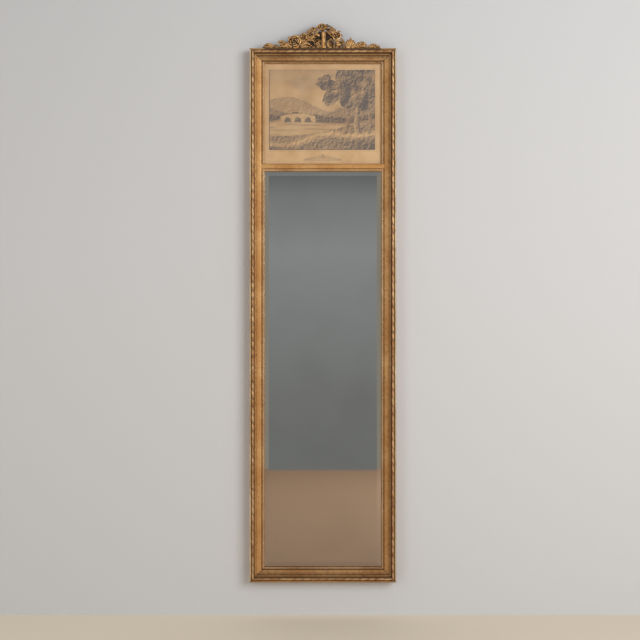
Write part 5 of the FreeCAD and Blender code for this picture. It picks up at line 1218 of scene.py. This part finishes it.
# Leaves of the crest: routes of (x, z, height) from root to tip, width, and what differs.
def makeLeaves():
    leaves = {
        "crest_left_end_leaf": [
            leafShell([(-169.5, 4, 1), (-178, 15, 3), (-192, 17, 4), (-205, 4.5, 2.5)], 10.5),
            leafShell([(-174, 3.5, 0), (-183, 8, 2), (-192, 3.4, 1)], 9),
            leafShell([(-186, 3.2, 0), (-192, 8, 2), (-199, 3.4, 1)], 7),
            leafShell([(-171, 3.5, 0), (-163, 13, 1), (-152, 10, 1)], 6, lobes=4)],
        "crest_left_curled_leaf": [
            leafShell([(-117.5, 6, 1), (-126, 10, 3), (-139, 33, 5), (-157, 27, 5), (-151, 7, 2)], 10,
                      lobes=8),
            leafShell([(-118, 5, 0), (-130, 9, 3), (-143, 7, 3), (-153, 4, 0)], 10),
            leafShell([(-134, 6, 0), (-139, 16, 3), (-148, 19, 2)], 10, lobes=4),
            leafShell([(-119, 8, 0), (-122, 20, 2), (-131, 21, 2)], 7)],
        "crest_laurel_leaf": [
            leafShell([(-75, 4, 1), (-70, 22, 6), (-50, 18, 5), (-34, 5, 1)], 11, rise=3.5),
            leafShell([(-74, 4, 0), (-60, 9, 3), (-44, 4.5, 0)], 10),
            leafShell([(-70, 10, 0), (-73, 17, 2), (-69, 22, 1)], 6, lobes=3)],
        "crest_petal": [leafShell([(-10.5, 42, 1), (-17, 43, 4), (-24, 49, 5), (-26, 56, 2)], 9, lobes=3)],
        "crest_leaf_cluster": [leafShell(
            [(94 + spread * 2, 2.5, 1), (94 + spread * 9, 4 + reach * 0.5, 3 + lift), tip + (1.5,)], 15,
            rise=3.4, lobes=4, notch=0.15) for spread, reach, lift, tip in (
                (-1.6, 8, 1, (75, 5)), (1.6, 8, 1, (114, 5)), (-1.3, 22, 2, (77, 17)),
                (1.4, 22, 2, (112, 16)), (-0.9, 34, 3, (84, 30)), (0.9, 34, 3, (106, 28)),
                (0, 34, 4, (94.5, 37.5)), (-0.4, 22, 6, (87, 19)), (0.5, 20, 6, (102, 17)))],
        "crest_right_curled_leaf": [
            leafShell([(117.8, 5, 1), (124, 21, 5), (142, 24, 5), (154, 5, 2)], 10, lobes=7),
            leafShell([(119, 4, 0), (131, 11, 3), (147, 4.5, 1)], 11),
            leafShell([(131, 4, 0), (138, 13, 3), (148, 11, 1)], 10, lobes=4),
            leafShell([(118, 8, 0), (117, 18, 2), (124, 21, 2)], 7, lobes=4)],
        "crest_right_end_leaf": [
            leafShell([(156.5, 4, 1), (166, 14, 3), (180, 13, 3), (195, 4, 2)], 9.5),
            leafShell([(160, 3.4, 0), (169, 9, 2), (180, 4, 1)], 8),
            leafShell([(182, 3, 0), (187, 10, 3), (194.5, 8, 2)], 5.5, lobes=4)],
    }
    for node, shells in leaves.items():
        finishCarving(node + "_carved", shells, [node])
    finishCarving("crest_ribbon_end_carved", [
        ribbonShell([(9, 76, 1), (18, 80, 4), (27, 73, 4), (35, 61, 1)], 9.5),
        ribbonShell([(8, 66, 0), (20, 70, 4), (30, 62, 3), (36, 52, 1)], 9)], ["crest_ribbon_end"])
    finishCarving("crest_strand_carved", [
        ribbonShell([(13.2, 59.5, 1), (20, 60, 3), (26, 50, 3), (33, 49, 1)], 7)], ["crest_strand"])
    say("leaves carved")


torch = {"rise": 10.2, "point": 0.3, "flutes": 3, "bands": (0.10, 0.62)}


def makeTorch():
    k = torch
    middle, halfX, halfZ = crestPlace("crest_torch")
    t = np.linspace(0, 1, 61)[:, None]
    s = np.linspace(-1, 1, 41)[None, :]
    tip = np.clip((t - 1 + k["point"]) / k["point"], 0, 1)
    half = 1.1 * halfX * np.sqrt(np.maximum(1 - tip ** 2.2, 0.002)) * (0.9 + 0.1 * np.cos(2 * math.pi * t))
    x = middle[0] + s * half
    z = middle[1] - halfZ + 2 * halfZ * t + 0 * s
    flute = np.abs(np.sin(math.pi * k["flutes"] * (s + 1) / 2)) ** 0.7
    leftFall = 1 - 0.75 * (np.abs(s + 0.25) / 0.75) ** 1.3
    rightFall = 1 - 0.7 * (np.abs(s + 0.25) / 1.25) ** 1.2
    ridge = np.where(s < -0.25, leftFall, rightFall)
    height = k["rise"] * (0.82 * ridge + 0.18 * flute * ridge) * (1 - 0.3 * tip)
    bands = sum(np.exp(-((t - place) / 0.014) ** 2) for place in k["bands"])
    height = np.minimum(height + 0.8 * bands, k["rise"]) * (1 - 0.25 * np.abs(s) ** 8)
    front = np.stack([x + 0 * t, z, height], -1)
    back = front.copy()
    back[..., 2] = -0.3
    # Painted shade: darker in the flutes, at the edges and on the right side.
    tone = 0.25 * (1 - flute) + 0.4 * np.abs(s) ** 8 + 0.16 * np.clip((s - 0.3) / 0.4, 0, 1) + 0 * t
    shells = [closedShell(onCrest(front), onCrest(back), tone, 1.0)]
    shells += [leafShell([(middle[0] + 2 * side, 2, 4), (middle[0] + 5 * side, 12, 8),
                          (middle[0] + 5.5 * side, 20, 8.5)], 6, rise=1.6, lobes=4) for side in (-1, 1)]
    finishCarving("crest_torch_carved", shells, ["crest_torch"], 50)


def makeScrolls():
    for node, start, way in (("crest_left_volute", -100, 1), ("crest_right_volute", -80, -1)):
        middle, halfX, halfZ = crestPlace(node)
        radius = min(halfX, halfZ) + 0.4
        shells = scrollShells(middle, radius, start, 1.15 * way, 3.6, 7.4, 2.6)
        side = -way
        rim = (-17, 15.4) if side < 0 else (27, 14.6)
        shells.append(scrollShells(rim, 15, -90 - 20 * way, 0.92 * way, 2.7, 6.5, 13.4)[0])
        shells.append(leafShell([(middle[0] - side * 2, middle[1] + radius - 4, 3),
                                 (middle[0] - side * 8, middle[1] + radius + 1, 4),
                                 (middle[0] - side * 9, middle[1] + radius - 6, 1)], 7, lobes=4))
        finishCarving(node + "_carved", shells, [node])
    middle, halfX, halfZ = crestPlace("crest_shell_curl")
    radius = min(halfX, halfZ) + 0.8
    shells = scrollShells(middle, radius, 60, 0.72, 4.0, 6.6, 2.2)
    for number in range(6):
        angle = math.radians(20 + 28 * number)
        reach = radius * 0.95
        root = (middle[0] + 1.5, middle[1] - 5, 4)
        tip = (middle[0] + reach * math.cos(angle), middle[1] - 3 + (reach - 1) * math.sin(angle), 2)
        bend = ((root[0] + tip[0]) / 2, (root[1] + tip[1]) / 2 + 1, 6.5)
        shells.append(leafShell([root, bend, tip], 6.5, rise=1.6, lobes=2, notch=0.1))
    finishCarving("crest_shell_curl_carved", shells, ["crest_shell_curl"])
    say("torch and scrolls carved")


foliage = {"seed": 4, "leaflets": 44, "leafletLength": 9, "leafletWidth": 9}


# Leaflets along the foot of the crest, one leaf turned and scaled at each of many places.
def leafletTree():
    tree, given = newTree("leaflet_row", [("Leaflet", "NodeSocketObject"), ("Start", "NodeSocketVector"),
                                          ("End", "NodeSocketVector"), ("Count", "NodeSocketInt"),
                                          ("Lean", "NodeSocketFloat"), ("Seed", "NodeSocketInt"),
                                          ("Material", "NodeSocketMaterial")])
    line = addNode(tree, "GeometryNodeMeshLine", {"Count": given["Count"], "Start Location": given["Start"],
                                                  "Offset": given["End"]}, mode="END_POINTS")
    back = addNode(tree, "ShaderNodeMath", {0: given["Lean"], 1: -1.0}, operation="MULTIPLY")
    lean = addNode(tree, "FunctionNodeRandomValue", {2: back.outputs[0], 3: given["Lean"],
                                                     "Seed": given["Seed"]}, data_type="FLOAT")
    turn = addNode(tree, "ShaderNodeCombineXYZ", {"Y": lean.outputs[1]})
    size = addNode(tree, "FunctionNodeRandomValue", {2: 0.6, 3: 1.05, "Seed": given["Seed"]},
                   data_type="FLOAT")
    leaflet = addNode(tree, "GeometryNodeObjectInfo", {"Object": given["Leaflet"]})
    leaflets = addNode(tree, "GeometryNodeInstanceOnPoints", {
        "Points": line.outputs[0], "Instance": leaflet.outputs["Geometry"], "Rotation": turn.outputs[0],
        "Scale": size.outputs[1]})
    real = addNode(tree, "GeometryNodeRealizeInstances", {0: leaflets.outputs[0]})
    smooth = addNode(tree, "GeometryNodeSetShadeSmooth", {0: real.outputs[0]})
    dressed = addNode(tree, "GeometryNodeSetMaterial", {0: smooth.outputs[0], "Material": given["Material"]})
    addNode(tree, "NodeGroupOutput", {0: dressed.outputs[0]})
    return tree


def makeFoliage():
    f = foliage
    length = f["leafletLength"]
    points, quads, tones = leafShell([(0, 0, 0.5), (1, length * 0.6, 3), (0, length, 1)], f["leafletWidth"],
                                     rows=13, columns=7, lobes=4, rise=2)
    points = points - onCrest((0, 0, 0))
    leaflet = newObject("leaflet", meshFrom("leaflet", points, quads, tones))
    low, high = boardLow[0] + 0.008, boardHigh[0] - 0.008
    foot = crestFoot + 0.0012
    mesh = runTree(leafletTree(), "crest_leaflets", {
        "Leaflet": leaflet, "Start": (low, crestFront, foot), "End": (high, crestFront, foot),
        "Count": f["leaflets"], "Lean": 1.15, "Seed": f["seed"], "Material": carvingGilding})
    bpy.data.objects.remove(leaflet)
    shells = [arraysOf(mesh)]
    # Leaves that grow from the stems between the flowers: root, bend, tip and width.
    for root, bend, tip, width in (
            ((-80, 30), (-74, 20), (-62, 21), 9), ((-66, 30), (-58, 18), (-48, 20), 9),
            ((-60, 36), (-50, 32), (-42, 24), 9), ((-52, 42), (-40, 34), (-32, 30), 8),
            ((-44, 42), (-30, 40), (-24, 34), 8), ((-36, 48), (-26, 48), (-20, 40), 8),
            ((-80, 34), (-88, 44), (-84, 48), 7), ((-58, 42), (-66, 52), (-62, 56), 7),
            ((-50, 50), (-54, 62), (-48, 64), 7), ((-38, 56), (-46, 66), (-43, 72), 6),
            ((-34, 58), (-24, 60), (-20, 66), 8), ((-24, 52), (-18, 58), (-12, 58), 8),
            ((-30, 58), (-22, 70), (-16, 74), 7), ((-108, 30), (-118, 34), (-119, 40), 7),
            ((-86, 6), (-80, 12), (-74, 20), 8), ((-30, 22), (-34, 28), (-26, 33), 7),
            ((-70, 24), (-60, 26), (-52, 22), 9), ((-56, 26), (-46, 30), (-38, 26), 9),
            ((-44, 28), (-36, 30), (-30, 22), 9), ((-50, 34), (-40, 40), (-30, 38), 9),
            ((-36, 42), (-30, 34), (-22, 36), 8), ((-66, 18), (-74, 28), (-78, 28), 9),
            ((40, 50), (38, 60), (44, 63), 7), ((50, 52), (56, 60), (60, 58), 7),
            ((54, 44), (64, 46), (68, 40), 8), ((52, 34), (64, 34), (70, 28), 8),
            ((48, 30), (40, 24), (36, 29), 7), ((34, 46), (30, 38), (36, 33), 6),
            ((60, 22), (70, 26), (76, 20), 8), ((22, 26), (26, 33), (34, 31), 7),
            ((112, 4), (115, 14), (120, 16), 7), ((36, 4), (38, 12), (42, 18), 7),
            ((12, 58), (20, 54), (30, 40), 9), ((20, 60), (32, 58), (40, 46), 9),
            ((30, 66), (38, 66), (48, 56), 9), ((30, 44), (36, 40), (42, 30), 9),
            ((44, 22), (50, 30), (60, 24), 9), ((66, 14), (72, 20), (78, 12), 9)):
        shells.append(leafShell([root + (0.5,), bend + (4,), tip + (1,)], width, rows=17, columns=9, lobes=4,
                                rise=2))
    # Plates behind the openings between the flowers, dark, and one mid-brown behind the leaves on the left:
    # painted shade.
    for corners in (((-26, 22), (-4, 22), (-4, 56), (-12, 58), (-20, 50), (-26, 40)),
                    ((8, 28), (34, 28), (36, 38), (26, 50), (9, 58))):
        shells.append(groundShell(corners))
    shells.append(groundShell(((-76, 10), (-24, 8), (-24, 44), (-44, 52), (-68, 42), (-84, 34)), -0.6, 0.6))
    finishCarving("crest_foliage_carved", shells, [])
    say("foliage carved")


makeFlowers()
makeLeaves()
makeTorch()
makeScrolls()
makeFoliage()


# CAD nodes that stay as they are, with their materials.

kept = {
    "mirror_glass": mirrorSilver, "print_glass": printGlass, "print_backing_card": pasteboard,
    "mirror_back_board_upper": levelGrain, "mirror_back_board_middle": levelGrain,
    "mirror_back_board_lower": levelGrain, "upper_back_panel": upGrain,
    "mirror_packing_blocks": upGrain, "print_packing_blocks": upGrain,
    "corner_keys": levelGrain, "middle_rail_dowels": levelGrain,
    "back_board_screws": dullSteel, "hanger_screws": dullSteel, "bumper_tacks": dullSteel,
    "crest_bracket_screws": dullSteel, "crest_brackets": dullSteel,
    "left_hanger_strap": dullBrass, "right_hanger_strap": dullBrass,
    "left_hanging_ring": dullBrass, "right_hanging_ring": dullBrass,
    "upper_bumpers": agedRubber, "lower_bumpers": agedRubber,
    "crest_board": groundShadeGilding,
}


def dressKept():
    for node, material in kept.items():
        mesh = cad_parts[node].data
        mesh.materials.clear()
        mesh.materials.append(material)


dressKept()


# Stage: wall, floor, lamps and camera.

stage = {
    "wall": "#CDCDCE", "floor": "#D6C9B6", "floorReflected": "#A38266", "floorDrop": 0.121,
    "floorReach": 3.9, "wallGap": 0.003,
    "lens": 65.4, "cameraDistance": 4.0, "cameraSide": -0.0098, "cameraDrop": 0.926,
    "keyPower": 92, "keyPlace": (2.25, -3.2, 0.3), "keySize": 2.2,
    "fillPower": 19, "fillPlace": (-2.3, -3.0, -0.4), "fillSize": 1.5,
    "backdrop": "#E9E8E6", "surround": "#A0A0A0", "behind": "#F2F0EC", "side": "#978E81",
    # Seen in the mirror from a slant of -0.2 below the horizon (0) to 0.2 above it (1).
    "room": ((0.10, "#797A78"), (0.33, "#818180"), (0.50, "#8F9090"), (0.65, "#9A9B9B"),
             (0.76, "#8B8C8C"), (0.81, "#737474"), (1.0, "#8A8A8A")),
}


def stagePaint(name, tint, reflected, seeThroughBack):
    material, tree = newMaterial(name)
    place = addNode(tree, "ShaderNodeTexCoord").outputs["Object"]
    trace = addNode(tree, "ShaderNodeTexNoise", {"Vector": place, "Scale": 40.0, "Detail": 3.0})
    bump = addNode(tree, "ShaderNodeBump", {"Height": trace.outputs["Fac"], "Strength": 0.05,
                                            "Distance": 0.001})
    glossy = addNode(tree, "ShaderNodeLightPath").outputs["Is Glossy Ray"]
    shown = addNode(tree, "ShaderNodeMix", {"Factor": glossy, 6: colour(tint), 7: colour(reflected)},
                    data_type="RGBA")
    paint = addNode(tree, "ShaderNodeBsdfPrincipled", {"Base Color": shown.outputs[2], "Roughness": 0.9,
                                                       "Normal": bump.outputs["Normal"]})
    if not seeThroughBack:
        linkSurface(tree, paint.outputs[0])
        return material
    side = addNode(tree, "ShaderNodeNewGeometry").outputs["Backfacing"]
    clear = addNode(tree, "ShaderNodeBsdfTransparent")
    mixed = addNode(tree, "ShaderNodeMixShader", {0: side, 1: paint.outputs[0], 2: clear.outputs[0]})
    linkSurface(tree, mixed.outputs[0])
    return material


def stagePlane(name, corners, material):
    mesh = bpy.data.meshes.new(name)
    mesh.from_pydata(corners, [], [(0, 1, 2, 3)])
    mesh.materials.append(material)
    plane = newObject(name, mesh)
    return plane


def areaLamp(name, power, place, size, target):
    data = bpy.data.lights.new(name, "AREA")
    data.energy = power
    data.size = size
    lamp = bpy.data.objects.new(name, data)
    lamp.location = place
    lamp.rotation_euler = (Vector(target) - Vector(place)).to_track_quat("-Z", "Y").to_euler()
    bpy.context.scene.collection.objects.link(lamp)


def makeStage():
    s = stage
    floorHeight = frameBottom - s["floorDrop"]
    wide = 4.5
    front = -s["floorReach"]
    stagePlane("floor", [(-wide, front, floorHeight), (wide, front, floorHeight), (wide, 0.003, floorHeight),
                         (-wide, 0.003, floorHeight)],
               stagePaint("pale_floor", s["floor"], s["floorReflected"], False))
    y = s["wallGap"]
    high = floorHeight + 4.2
    wall = stagePlane("wall", [(-wide, y, floorHeight), (wide, y, floorHeight), (wide, y, high),
                               (-wide, y, high)], stagePaint("pale_wall", s["wall"], s["wall"], True))
    # The wall is only seen: the room's light passes it, so that the back of the mirror isn't black.
    wall.visible_diffuse = False
    wall.visible_glossy = False
    wall.visible_shadow = False
    middle = (0, 0, (frameTop + frameBottom) / 2)
    areaLamp("key", s["keyPower"], s["keyPlace"], s["keySize"], middle)
    areaLamp("fill", s["fillPower"], s["fillPlace"], s["fillSize"], middle)
    world = bpy.data.worlds.new("studio")
    world.use_nodes = True
    world.node_tree.nodes.clear()
    tree = world.node_tree
    place = addNode(tree, "ShaderNodeTexCoord").outputs["Generated"]
    parts = addNode(tree, "ShaderNodeSeparateXYZ", {0: place})
    slant = addNode(tree, "ShaderNodeMapRange", {"Value": parts.outputs["Z"], "From Min": -0.2,
                                                 "From Max": 0.2})
    room = addNode(tree, "ShaderNodeValToRGB", {"Fac": slant.outputs["Result"]})
    stops = room.color_ramp.elements
    for number, (position, tint) in enumerate(s["room"]):
        stop = stops[number] if number < 2 else stops.new(position)
        stop.position = position
        stop.color = colour(tint)
    aside = addNode(tree, "ShaderNodeMath", {0: parts.outputs["X"]}, operation="ABSOLUTE")
    beside = addNode(tree, "ShaderNodeMapRange", {"Value": aside.outputs[0], "From Min": 0.1,
                                                  "From Max": 0.17})
    mirrored = addNode(tree, "ShaderNodeMix", {"Factor": beside.outputs["Result"], 6: room.outputs["Color"],
                                               7: colour(s["side"])}, data_type="RGBA")
    rays = addNode(tree, "ShaderNodeLightPath").outputs
    turned = addNode(tree, "ShaderNodeMapRange", {"Value": parts.outputs["Y"], "From Min": 0.0,
                                                  "From Max": 0.1})
    around = addNode(tree, "ShaderNodeMix", {"Factor": turned.outputs["Result"], 6: colour(s["surround"]),
                                             7: colour(s["behind"])}, data_type="RGBA")
    seen = addNode(tree, "ShaderNodeMix", {"Factor": turned.outputs["Result"], 6: mirrored.outputs[2],
                                           7: colour(s["behind"])}, data_type="RGBA")
    level = addNode(tree, "ShaderNodeMix", {"Factor": rays["Is Glossy Ray"], 6: around.outputs[2],
                                            7: seen.outputs[2]}, data_type="RGBA")
    shown = addNode(tree, "ShaderNodeMix", {"Factor": rays["Is Camera Ray"], 6: level.outputs[2],
                                            7: colour(s["backdrop"])}, data_type="RGBA")
    light = addNode(tree, "ShaderNodeBackground", {"Color": shown.outputs[2], "Strength": 1.0})
    output = addNode(tree, "ShaderNodeOutputWorld")
    tree.links.new(light.outputs[0], output.inputs["Surface"])
    bpy.context.scene.world = world
    data = bpy.data.cameras.new("camera")
    data.lens = s["lens"]
    data.sensor_width = 36
    data.clip_end = 50
    camera = bpy.data.objects.new("camera", data)
    camera.location = (s["cameraSide"], -s["cameraDistance"], frameTop - s["cameraDrop"])
    camera.rotation_euler = (math.pi / 2, 0, 0)
    bpy.context.scene.collection.objects.link(camera)
    bpy.context.scene.camera = camera
    bpy.context.scene.view_settings.view_transform = "Standard"
    say("stage set")


makeStage()
